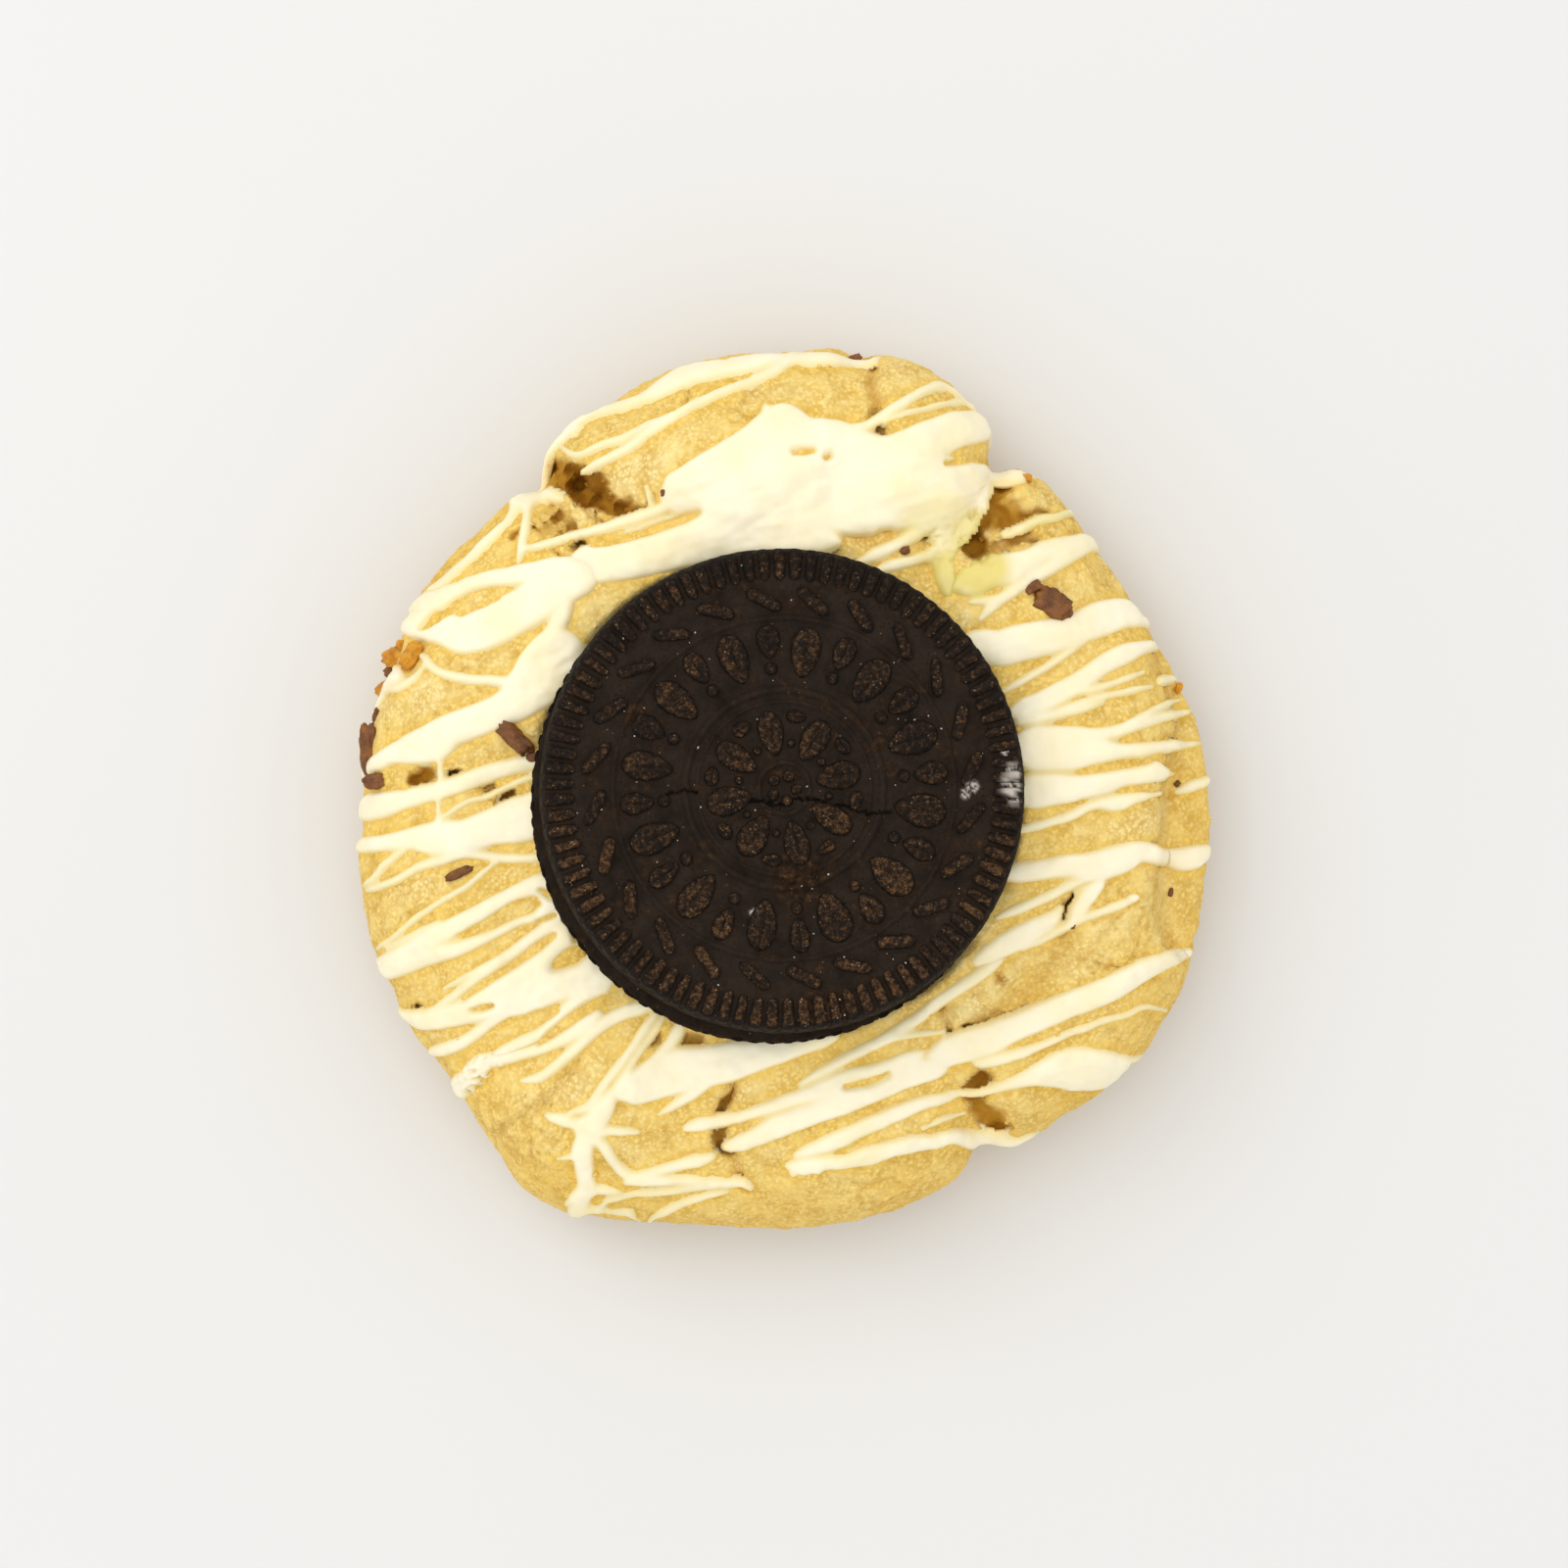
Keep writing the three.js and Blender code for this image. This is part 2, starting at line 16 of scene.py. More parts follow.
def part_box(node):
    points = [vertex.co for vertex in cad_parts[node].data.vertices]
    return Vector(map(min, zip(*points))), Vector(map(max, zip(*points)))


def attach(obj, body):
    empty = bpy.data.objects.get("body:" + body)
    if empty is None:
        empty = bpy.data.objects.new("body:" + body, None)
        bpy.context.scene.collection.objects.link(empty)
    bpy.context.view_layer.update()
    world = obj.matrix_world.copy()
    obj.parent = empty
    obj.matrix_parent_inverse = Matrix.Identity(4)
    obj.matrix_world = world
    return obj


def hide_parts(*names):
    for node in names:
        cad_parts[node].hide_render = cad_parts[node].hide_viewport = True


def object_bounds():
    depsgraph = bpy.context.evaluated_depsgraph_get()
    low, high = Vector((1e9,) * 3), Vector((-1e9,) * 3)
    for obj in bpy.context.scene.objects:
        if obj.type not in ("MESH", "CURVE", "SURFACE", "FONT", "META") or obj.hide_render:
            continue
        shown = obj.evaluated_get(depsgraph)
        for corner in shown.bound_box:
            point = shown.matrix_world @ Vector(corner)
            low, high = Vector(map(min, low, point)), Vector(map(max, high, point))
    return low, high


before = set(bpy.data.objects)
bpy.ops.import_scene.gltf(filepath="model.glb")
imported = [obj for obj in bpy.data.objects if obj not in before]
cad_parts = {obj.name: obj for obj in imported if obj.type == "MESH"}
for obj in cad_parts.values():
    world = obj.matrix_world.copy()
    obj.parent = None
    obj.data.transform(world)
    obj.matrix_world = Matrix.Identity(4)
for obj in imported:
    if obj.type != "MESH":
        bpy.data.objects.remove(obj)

bl_info = {
    "name": "Cookies and cream cookie",
    "version": (1, 0, 0),
    "blender": (4, 5, 0),
    "location": "View3D > Sidebar > Cookie",
    "description": "Baked dough, drizzle, sandwich biscuit, bits and crumbs of one cookie",
    "category": "Add Mesh",
}

CAD_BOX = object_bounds()
MM = 0.001

# ---- The eye above, and the scale of what it reads ----
EYE_HEIGHT = 500.0
READ_LEVEL = 19.0

# ---- Dough, as its solid has it ----
DOUGH_HEIGHT = 24.8
WIDEST_LEVEL = 9.0
DOME_POWER = 2.4
UNDERCUT = 4.5
LOW_EASING = 0.5
DOUGH_CENTRE = (-0.2, -0.4)
OUTLINE_RADII = np.array([
    41.3, 39.8, 38.1, 38.5, 40.2, 43.2, 42.0, 41.5, 40.2, 38.4, 39.3, 39.5,
    40.3, 41.8, 42.5, 42.9, 46.0, 43.4, 42.2, 42.2, 41.0, 42.3, 43.3, 41.8,
])
# The outline stands this far inside the solid's, to leave room for crumb and drizzle.
OUTLINE_INSET = 0.3
NOTCHES = [(56.5, 3.0, 3.0), (129, 2.0, 3.0), (80, 0.9, 2.5), (299, 1.6, 3.0)]
LUMPS = [
    (-5, 34, 14, 1.6), (13, 36, 8, 1.4), (-33, 8, 11, 1.0), (28, 2, 11, 1.0),
    (-24, -33, 10, 1.2), (6, -36, 10, 1.2), (29, -22, 10, 1.0), (-33, -12, 9, 0.6),
]
LEDGE_LINE = [(33.5, 16), (36.4, 8), (36.9, 3.5), (35.7, 0), (35.2, -7), (35.3, -15)]
LEDGE_DROP = 0.6
LEDGE_SLOPE = 1.1
SWELL_HEIGHT = 0.9
# Hollows at the ends of the crack behind the upper lobe, and small holes: x, y, radius, depth.
HOLLOWS = [
    (21.8, 25, 2.4, 1.7), (20, 25, 1.8, 1.2), (17.9, 22.9, 1.7, 2.3), (-18.6, 28, 2, 4.4),
    (-20.2, 28.8, 1.5, 3.2), (-22.4, 29.4, 1.7, 2.4), (-17.2, 26.8, 1.2, 3), (-19.3, 22.4, 0.9, 1.4),
    (-34.1, 0.6, 1.5, 2.4), (-31.4, 0.5, 0.95, 2.8), (-27.9, -0.6, 0.7, 1.6), (-26.2, -1.2, 1, 2.6),
    (-34.6, -21, 0.6, 1.6), (-15.4, 26, 0.8, 1.2), (-20, 24.1, 0.7, 1.2), (-21.1, 21.8, 0.5, 0.9),
    (-8.6, -24.3, 1.4, 1.5), (-12.2, -24, 1, 1.3), (17.2, -23.4, 0.6, 1.2), (20.2, -18.2, 0.8, 1.3),
]
# Cracks and creases: depth, half width, then the places along them.
CRACKS = [
    (0.9, 2.2, [(-24, 30), (-17, 27), (-8, 25), (0, 25.5), (9, 24.5), (17, 24), (21, 30)]),
    (1.8, 0.7, [(-24.5, 30.4), (-20.3, 29.7), (-18, 27.4), (-15.6, 26), (-13.4, 25.2)]),
    (1.2, 0.35, [(-25.4, 23.2), (-24, 24.2), (-22.6, 24), (-21, 25.2), (-19.6, 24.6), (-19.2, 22.6)]),
    (0.9, 0.3, [(-22.4, 26.8), (-21.2, 25.4), (-20.9, 23.4), (-21.8, 22.2)]),
    (1, 0.3, [(-18.9, 26.4), (-18.2, 25), (-17, 24.4), (-15.6, 24.6), (-14.8, 26.2)]),
    (1.6, 0.9, [(13, 24.4), (16.6, 23.4), (18.4, 24.6), (19.6, 26.4), (20.6, 28.4), (22.2, 30.6)]),
    (0.9, 0.6, [(20.8, 24.6), (22.6, 25.2), (24.6, 25.4)]),
    (1.6, 0.6, [(17.6, 21.8), (19.4, 22), (21.6, 22.8), (23.6, 22.8)]),
    (1.5, 0.7, [(7.8, 42), (8.2, 39), (8.6, 36), (8.9, 33)]),
    (2, 0.55, [(-4.8, -28.4), (-5.3, -29.8), (-6, -31), (-6, -32.4), (-6, -33.8), (-5.4, -34.4)]),
    (0.9, 0.5, [(-5.4, -34.4), (-4.6, -35.4), (-4, -37), (-3.4, -38.4)]),
    (2.6, 0.9, [(18.5, -27.8), (17.9, -29), (18.4, -30.4), (19.4, -31.5), (20.2, -32.5)]),
    (1.1, 1.2, [(28.4, -8.6), (27.2, -10.9), (26.3, -12.6), (26.3, -14.8), (24.9, -17), (23, -19.4),
        (18.4, -22.6), (16.6, -24.4)]),
    (1.6, 0.3, [(28.4, -9), (27.2, -10.9), (26.2, -12), (26.3, -13), (25.4, -13.6)]),
    (1.2, 0.7, [(35, 12.4), (36.7, 7.4), (37, 3.7), (35.8, 0), (35.5, -3.7), (35, -10.5), (35.2, -14)]),
    (1, 0.4, [(14.9, -21), (15.3, -22.8), (16, -24.4)]),
    (0.7, 0.35, [(-10.6, 39.2), (-8.8, 37.2), (-9.4, 35)]),
    (0.8, 0.4, [(-27, -33), (-22, -29.4), (-19.2, -26.2)]),
    (0.7, 0.4, [(36.6, -18.4), (32.4, -17.6), (29.5, -16.8)]),
    (0.7, 0.4, [(24, 25.6), (28, 25), (31.5, 26.4)]),
]
# Where fine fissures run through the crust: x, y, radius.
FISSURED = [
    (-20, 24, 5.5), (-29, 12.6, 5), (-25, -32, 6), (-4, 36, 4), (31, -14, 7), (-37, -12, 5), (10, -38, 6),
    (28, 24, 5), (33, 5, 5), (-34, 22, 5),
]
DOUGH_COLUMNS = 820
HIDDEN_ROWS = 4
DOME_ROWS = 86
SIDE_ROWS = 25
FIRST_LEAN = 0.50
# Beside the drizzle the crust is deeper in colour as far as this.
SOAK_REACH = 0.85
# How brown the base is, from 0 to 1.
BASE_TOAST = 0.8

# ---- Sandwich biscuit, as its solids have it ----
BISCUIT_RADIUS = 22.5
WAFER_THICKNESS = 3.4
CREAM_THICKNESS = 2.8
CREAM_RADIUS = 20.9
CREAM_GAP = 0.01
BISCUIT_CENTRE = Vector((-1.15, -1.8, 21.4))
BISCUIT_TILT = math.radians(5)
TILT_TOWARDS = math.radians(51)
TOP_WAFER_SHIFT = 1.0
WAFER_BEVEL = 0.8
PANEL_DEPTH = 0.3
RIM_WIDTH = 3.1

# ---- White chocolate drizzle ----
# Each strand is its width, or its widths along the way, and then the places that it passes.
DRIZZLE_BACK = [
    ((1, 1.1, 1.1, 2, 2, 1.8, 1.4, 1.2, 1), [(-20.5, 34.2), (-17, 35.2), (-13.5, 36.2), (-10.5, 37.7),
        (-7.5, 38.8), (-4, 39.4), (0, 39.9), (4, 39.8), (8, 39.9)]),
    (0.8, [(-19.5, 31), (-17, 31.9), (-15, 32.6), (-12.5, 33.8), (-10.5, 34.6)]),
    (0.95, [(-19, 29.5), (-17, 30.4), (-15, 31.4), (-12.5, 33), (-10, 34.6), (-7, 36.3), (-5, 37.2),
        (-3, 38), (0, 39.2)]),
    ((2.5, 2, 1.6, 1.4, 1.2), [(-20, 34.2), (-22, 33), (-24, 31.3), (-24.6, 29), (-25.3, 27)]),
    (1, [(-25, 27.5), (-25.7, 25.3), (-27, 23.8), (-29, 22), (-31, 20.2), (-33, 18.3)]),
    (0.9, [(-24.3, 26.5), (-24.3, 24.5), (-24.6, 22.5), (-25, 20.8)]),
    (1.4, [(-24.5, 26.3), (-23.5, 27), (-22.3, 27.3), (-21.5, 26.9)]),
    ((0.8, 1.2), [(-24.5, 22), (-22, 22.7), (-19.5, 23.4), (-17, 24.1), (-14.5, 24.9), (-12.5, 25.6),
        (-10.5, 26.3)]), (0.7, [(-13, 28), (-12.6, 26.5)]),
    ((3.5, 5, 6.5, 7.5, 8, 7, 6.5, 6, 3.5), [(-11, 27), (-8, 28), (-4, 29.5), (0, 30.5), (4, 30.5),
        (8, 29.5), (12, 28.5), (16, 27.5), (18.5, 27)]),
    ((2, 3, 4, 4.5), [(-6, 30.5), (-3, 32.3), (-0.5, 33.7), (1.5, 34)]),
    ((1.6, 1.2), [(-1.4, 34.6), (-1.8, 35.7)]),
    ((4, 3.5, 4, 4, 3.6, 3), [(4, 31.5), (7, 30.5), (10, 30.8), (13, 32), (16, 33.3), (18.5, 33.8)]),
    ((4, 3, 2, 1.5, 0.8), [(10, 29.5), (14, 29.2), (18, 29.2), (21.5, 29.1), (22.8, 28.9)]),
    ((3, 6, 7, 5, 5, 5, 5), [(-8, 24.5), (-4, 26), (0, 26.5), (4, 26), (8, 26), (12, 26.5), (16, 25.5)]),
    ((2.6, 3.2, 4, 4, 4, 3, 2), [(-20, 20.6), (-16, 21.6), (-12, 22.8), (-8, 23.8), (-4, 24.5), (0, 24.5),
        (4, 24)]),
    ((2, 3, 3.4, 3.4, 3, 2), [(-20, 19.4), (-14, 20.8), (-8, 22.4), (-3, 23.2), (2, 23.2), (5, 22.8)]),
    ((5, 4.4, 3.4, 2.8, 2.2, 2, 1.8), [(15.5, 26.5), (16.2, 25), (15.6, 23.6), (15, 22.2), (15.1, 20.6),
        (15.3, 18.9), (15.4, 17.9)]),
    (1, [(5.5, 33.2), (8, 34), (10, 35.2), (12, 36.4), (13.5, 37.2), (14.8, 37.5), (16, 37), (17.5, 36.2),
        (18.5, 35.5)]), (0.6, [(9.5, 34.2), (12.5, 35.2), (15.5, 35.9), (18, 35.9)]),
    (1.3, [(7.2, 20.9), (8.6, 21.6), (10.4, 22.4), (12.1, 23.3), (13.6, 24.2)]),
    (1.2, [(8.6, 20), (10.4, 20.6), (12.2, 21.1), (13.6, 21.4), (15, 21.8)]),
]
DRIZZLE_LEFT = [
    ((2.2, 1.7, 1.6, 2, 2.2), [(-33.5, 17), (-31, 18.2), (-28, 19.2), (-25, 19.7), (-20, 20.6)]),
    ((2.5, 3.2, 3.6, 4.1, 4, 4), [(-35, 15), (-32, 14.6), (-30, 14), (-27, 15.2), (-24, 16.8), (-18, 20.3)]),
    ((0.9, 0.9, 1, 1.1, 1.2), [(-34, 12), (-32.5, 10.6), (-30, 9.9), (-27, 9.7), (-25, 9.3)]),
    (1.6, [(-40.3, 7.6), (-39, 8.8), (-37.5, 9.7), (-36.3, 10.2)]),
    (0.8, [(-36, 9), (-34.5, 10.3), (-33.8, 11)]),
    ((1.6, 1.8, 3, 3.7, 3.2, 3.2, 3.4, 4, 5), [(-39, 1.6), (-37, 2.7), (-35, 3.3), (-33, 3.9), (-31.5, 5),
        (-29, 6), (-26.5, 7), (-24.5, 8.2), (-21.5, 10.6)]),
    ((3, 4, 5.4, 6), [(-25.5, 8.4), (-24, 9.6), (-22.4, 11), (-20.4, 12.8)]),
    ((1, 1.6, 2.2), [(-24, 11.4), (-22.6, 13.2), (-21.2, 15.2), (-20.3, 16.8)]),
    (0.8, [(-32.4, 2.5), (-32.3, 0)]),
    ((2.6, 2.4, 1.9, 1.8, 1.8, 1.75, 1.6, 1.8), [(-40, -2.3), (-37.5, -1.9), (-35, -1.3), (-32.5, -0.6),
        (-30, 0.2), (-27.5, 1.1), (-25, 1.8), (-21.5, 2.7)]),
    (0.6, [(-32.3, -3.3), (-31, -2.4), (-29.6, -1.6), (-28, -1.2), (-26.6, -0.5), (-25, 0.2), (-22, 1.2)]),
    (0.6, [(-32.4, -1), (-32.5, -4)]),
    ((1.6, 1.7, 2.2, 3.4, 3.4, 3.6, 4.4, 4.6), [(-40, -5.8), (-37.5, -5.5), (-35, -5.2), (-32.5, -5.1),
        (-30, -4.9), (-27.5, -4), (-25, -3.4), (-21.5, -2.4)]),
    ((0.8, 1, 0.9, 1), [(-38.6, -9.8), (-36.5, -9), (-34.5, -7.9), (-32.5, -7.3), (-30, -6.6), (-28, -6.8),
        (-26, -7), (-22, -6.9)]), (0.8, [(-38.9, -9), (-38, -7.9), (-36.8, -6.9), (-35.8, -6.3)]),
    (0.65, [(-38.2, -15.4), (-36, -13.8), (-34.3, -12.4), (-32.2, -11), (-30.2, -9.8), (-28.8, -8.7),
        (-27.2, -7.4)]),
    ((0.9, 1.4, 2, 1.9, 2, 1.8, 1.6, 2.2, 3), [(-38, -16.6), (-35.5, -15.6), (-33, -14.4), (-30.8, -13.3),
        (-29, -12.4), (-27, -11.2), (-25, -10.1), (-23.2, -9.5), (-21.3, -9.6)]),
    ((2, 2.4, 2.4, 2.2), [(-22, -10), (-22, -11.6), (-21.4, -13), (-20.4, -14.6)]),
    (0.6, [(-36, -14.8), (-34, -13.7), (-32.5, -13)]),
    ((2, 2.2, 2, 1.7, 1.3, 1, 0.9, 1, 1.2), [(-38, -17.7), (-36, -17), (-34, -16.3), (-32, -15.8),
        (-30.4, -15.4), (-28.6, -14.7), (-27, -14), (-25, -13), (-23.4, -12.5), (-21.5, -11.8)]),
    ((0.8, 0.9, 1, 1.2, 1.4, 1.4), [(-33, -21.2), (-31, -19.9), (-29, -18.3), (-27, -16.9), (-25, -15.5),
        (-23, -14.1), (-21, -12.8)]), (0.6, [(-32, -19.3), (-30.3, -18.3), (-28.5, -17.4), (-26.8, -16.4)]),
    ((1.4, 2, 2.2, 2.6, 3.6, 4.8, 5.2, 5, 5), [(-36, -22), (-34.5, -22.2), (-32, -21.9), (-29.5, -21.3),
        (-27, -20.3), (-24.5, -19.3), (-22, -18.1), (-19.5, -17.5), (-16, -16.4)]),
    (2.2, [(-24, -16.9), (-22, -15.8), (-20.4, -14.6)]),
    ((1.4, 1.2, 1), [(-33, -25.3), (-31.5, -24.8), (-30, -24.2), (-28.6, -23.2), (-27.5, -22.4),
        (-26, -21.6)]),
    ((1.2, 1.2, 1.3, 1.3, 2, 2.4, 2.4), [(-28, -25.9), (-26.6, -25.3), (-24.6, -24.3), (-22.3, -23.1),
        (-20.2, -21.5), (-18.5, -20.2), (-16.8, -18.8)]),
]
DRIZZLE_FRONT = [
    ((1.1, 1.2, 1.6), [(-24.8, -28), (-23, -27.6), (-21.5, -26.6), (-20, -25.3), (-18.5, -23.9),
        (-17, -22.6), (-15.5, -21.7), (-14, -21.2), (-12, -20.6)]),
    ((2.6, 2, 1.4, 1.2, 1.4, 1.6, 1.6), [(-29.5, -27.5), (-28.5, -26.4), (-27, -26), (-25, -25.5),
        (-23, -24.9), (-21.2, -24.1), (-19.3, -23), (-17.3, -21.5)]), (1.6, [(-29.5, -28.1), (-29.1, -27.9)]),
    ((1, 0.9), [(-12, -21.6), (-12.9, -22.8), (-13.9, -24.3), (-15, -25.8), (-16.2, -27.3), (-17.3, -28.8),
        (-18.4, -30.2), (-20.2, -31)]),
    (0.6, [(-11.2, -21.6), (-12, -23.1), (-13, -24.5), (-14.1, -26), (-15.2, -27.6), (-16.3, -29)]),
    ((1.5, 1.1, 0.9), [(-9.4, -22), (-10.3, -23.8), (-11.4, -25.2), (-12.8, -26.6), (-14.2, -28)]),
    ((3, 3.6, 4.2, 4, 3.6, 3, 2.2, 1.6), [(-15.5, -29), (-13, -28.2), (-10, -27), (-7, -26.5), (-4, -25.8),
        (-1, -25), (2, -24.4), (5, -23.8)]),
    ((0.8, 1, 1.6), [(-11.8, -31.1), (-10.3, -30.2), (-8.8, -29.3), (-7.4, -28.4)]),
    (3.6, [(-19, -32.6), (-17.8, -32)]), (1.4, [(-22.4, -31.2), (-20.6, -31.7), (-19, -32.3)]),
    (1, [(-18.5, -32.6), (-16, -32.6), (-13.6, -32.8)]),
    ((2.4, 2.2), [(-18.3, -32.4), (-17, -30.5), (-16.3, -29.3)]),
    ((2.8, 2, 1.7, 1.8), [(-18.6, -33), (-19, -34.5), (-18.8, -36.5), (-18.6, -38), (-19.3, -39.5)]),
    ((1.4, 1.1, 1), [(-18, -33.2), (-17, -34), (-16, -35.6), (-15, -36.6), (-13.5, -37.2), (-11, -37.3)]),
    (0.7, [(-21.3, -35.3), (-19.2, -35)]),
    ((0.8, 1.1, 1.6), [(-14.5, -37.2), (-12.5, -36.6), (-10.5, -36.1), (-8.5, -35.6), (-6.6, -35)]),
    ((0.8, 1, 1.3), [(-15, -37.5), (-12, -37.4), (-9, -37.4), (-5.5, -37.5), (-4, -37.6), (-3.1, -38.2)]),
    (0.8, [(-16.5, -39.2), (-14, -38.7), (-12, -38.6), (-10, -38.4), (-8, -38), (-6.5, -37.8)]),
    (0.8, [(-12, -40.7), (-10, -39.8), (-8, -39.1), (-6.5, -38.7), (-5.3, -38.4)]),
    (1, [(-19.5, -38.6), (-17.5, -38.2), (-15.5, -38.3)]),
    (0.8, [(-18.5, -40.2), (-16, -40.6), (-14.5, -40.5)]),
    ((1.6, 1.3, 1.2, 1.4, 1.6, 2, 2.2, 2.4), [(-9.3, -32.4), (-7, -31.9), (-5, -31.5), (-3, -30.9),
        (-1, -30.3), (1, -29.6), (3, -29.1), (5, -28.9), (8, -28.6), (11, -27.4), (14, -26.4)]),
    ((1.8, 1.8, 2.2, 2.2, 2.2, 2.2, 2, 1.9, 1.8, 1.9, 2.4), [(-5.5, -34.2), (-3, -33.3), (-1, -32.3),
        (1, -31.6), (3, -30.9), (5, -30.2), (7, -29.6), (9, -28.8), (11, -27.9), (13, -27.2), (15, -26.8)]),
    ((1.1, 1.3, 1.6), [(3, -28.5), (6, -27.4), (8, -27), (10, -26.5), (11.5, -25.9), (13, -25.3)]),
    ((1.4, 1.2, 1), [(20.5, -16.4), (18, -18.2), (16, -19.5), (14.3, -20.7), (12.8, -21.9), (11.3, -22.9),
        (9.5, -24), (7.7, -24.9), (5.8, -25.9), (3.8, -27), (1.5, -28.2)]),
    (0.65, [(15, -23.3), (13, -23.5), (11, -23.8), (10, -24), (8.5, -24.8)]),
    ((2.6, 3, 3, 2.6, 2.6, 2.6, 2.6, 2.4, 2, 1.7, 1.2), [(14, -25.6), (16.5, -24.9), (19, -24.1),
        (21.5, -23), (24, -22), (26.5, -20.9), (29, -20), (31.5, -18.8), (34, -17.4), (36, -16.5),
        (37.8, -16)]),
    ((0.7, 0.9, 1.4), [(34, -21), (32, -21.7), (30, -22.3), (28, -23.2), (26, -23.9), (24, -24.7),
        (22, -25.3), (20, -26), (18, -26.4)]),
    ((0.7, 0.8, 1.2, 2, 3.2, 4.2, 3.8, 2, 1), [(17, -29.3), (19, -29), (21.5, -28.1), (23.5, -27.4),
        (25.5, -27), (27.5, -26.9), (29.5, -26.8), (31.5, -26.3), (32.6, -26)]),
    ((0.9, 1.2, 1.4, 1.6, 1.7, 1.7, 1.8, 1.4, 1.2), [(17, -29.1), (15, -29.6), (13, -30), (11, -30.8),
        (9, -31.7), (7, -32.6), (5, -33.5), (3, -34.2), (1, -34.9)]),
    ((1.6, 1.7, 1.4, 1.4, 1.9, 1.6, 1.8, 1.5, 1.5, 1.8, 2, 1.8, 1), [(0.3, -35.9), (2, -35.9), (4, -35.6),
        (6, -35.5), (8, -35), (10, -34.4), (12, -33.9), (14, -33.7), (16, -33.2), (18, -33.7), (20, -34),
        (22, -34.3), (24, -34.1)]), (0.9, [(0.7, -36.6), (0.9, -36.7)]), (0.9, [(3.1, -36.3), (3.3, -36.4)]),
    (0.6, [(13, -32.4), (15, -31.5), (17, -31.1)]),
]
DRIZZLE_RIGHT = [
    ((2, 2, 2.2, 2.8, 2.8, 2.2, 1.7, 2.3, 2.2), [(20.8, -8.6), (24, -8.1), (26.5, -7.7), (29, -7.8),
        (31.5, -7.2), (33.5, -6.4), (35.5, -6.8), (37.5, -7.1), (39.5, -6.8)]),
    ((2, 1.8, 1.6, 1), [(29.8, -9.3), (28.6, -10.5), (27.6, -11.9), (26.8, -13.4)]),
    ((1, 0.8, 0.6), [(33.2, -10.6), (31.5, -11.4), (29.5, -12.2), (27.5, -13), (25.8, -13.9), (24.2, -14.8),
        (22.5, -15.5)]), (1.2, [(32.7, -10.7), (33, -10.6)]),
    (1, [(20, -12.6), (22.5, -11.5), (24.5, -10.6), (26.3, -9.8), (28.4, -8.9)]),
    ((2, 2.2, 2.4, 2.2, 1.8, 1.2), [(18, -16.8), (20.5, -15.3), (22, -14.5), (23.5, -13.6), (25, -12.8),
        (26, -11.6)]),
    ((2.4, 3.4, 3.6, 3.4, 3.2, 3.4, 2.8, 1.8), [(17.5, 13.8), (20, 12.8), (22, 13.2), (25, 13.9),
        (27.5, 14.6), (30, 15.6), (32, 16), (33.7, 15.6)]),
    (0.8, [(20.5, 8.6), (23.3, 10.2), (25, 11.2), (26.5, 12.2), (28, 13.2)]),
    ((2.4, 2.2, 2.2, 2, 2, 2, 1.2, 0.8), [(21.5, 6.6), (24, 7.6), (26, 8.6), (28, 9.8), (30, 11.2),
        (32, 12.2), (34, 12.9), (35.5, 13.1)]),
    (0.7, [(27, 8.5), (29, 8.9), (31, 9.5), (33, 10.2), (33.8, 10.5)]),
    (0.7, [(26, 6.9), (28, 7.6), (30, 8.2), (32, 8.6), (34, 9), (34.6, 9.1)]),
    (1, [(35.7, 9.8), (35.9, 9.8)]), ((1.4, 1, 0.8, 0.5), [(22, 5.8), (26, 6.6), (28, 7), (30, 7.6)]),
    ((2, 1.8, 1.4, 1.3, 1.2, 1.1, 0.8), [(22.5, 4.4), (27, 4.6), (29, 4.6), (31, 4.9), (33, 5.5), (35, 6.1),
        (36.6, 6.5)]), (0.7, [(32, 5.4), (34.5, 6.8), (36.2, 7.6)]),
    ((4, 4, 2.8, 1.6, 1.3, 1.1, 0.8), [(22, 3.2), (26.5, 3.2), (29, 3.1), (31.5, 3.1), (34, 3.3),
        (36.5, 3.6), (37.8, 3.7)]),
    ((3.6, 3, 2.4, 2.2, 2.2, 2.4, 1.8, 0.8), [(22, -0.8), (26, -0.5), (28, -0.3), (30, 0.1), (32, 0.8),
        (33.8, 1.2), (35.3, 1.1), (36.5, 1)]),
    ((1, 0.9, 1, 1, 1.7, 1.1, 0.6), [(21.8, -4.5), (25.3, -3.6), (27.3, -2.9), (29.3, -2), (31.3, -1.8),
        (33.2, -1.3), (35.3, -0.9)]), (1.2, [(36.8, -0.8), (38.2, -0.3), (39.5, 0.1)]),
    ((1.4, 2, 2.2, 1.8, 1.2), [(23, 21.6), (24.6, 22), (26.3, 22.2), (28.6, 22.7), (30, 23)]),
    ((1, 1.1, 1.2, 1.5, 1.8), [(18.3, 15.4), (19.6, 16.7), (20.9, 17.7), (23.2, 19.2), (25.2, 20.5),
        (27.3, 21.9)]), (0.9, [(17.4, 17), (18.8, 17.2), (20.6, 17.6)]),
    (0.9, [(20, 23.3), (22, 23.9), (24, 24.8), (26, 25.2)]),
    ((1.6, 2.8, 3.2, 3, 2.2, 1.8), [(15.9, 18.3), (17.4, 19), (19.2, 19.9), (21.2, 20.3), (23.2, 21),
        (24.9, 21.9)]),
]
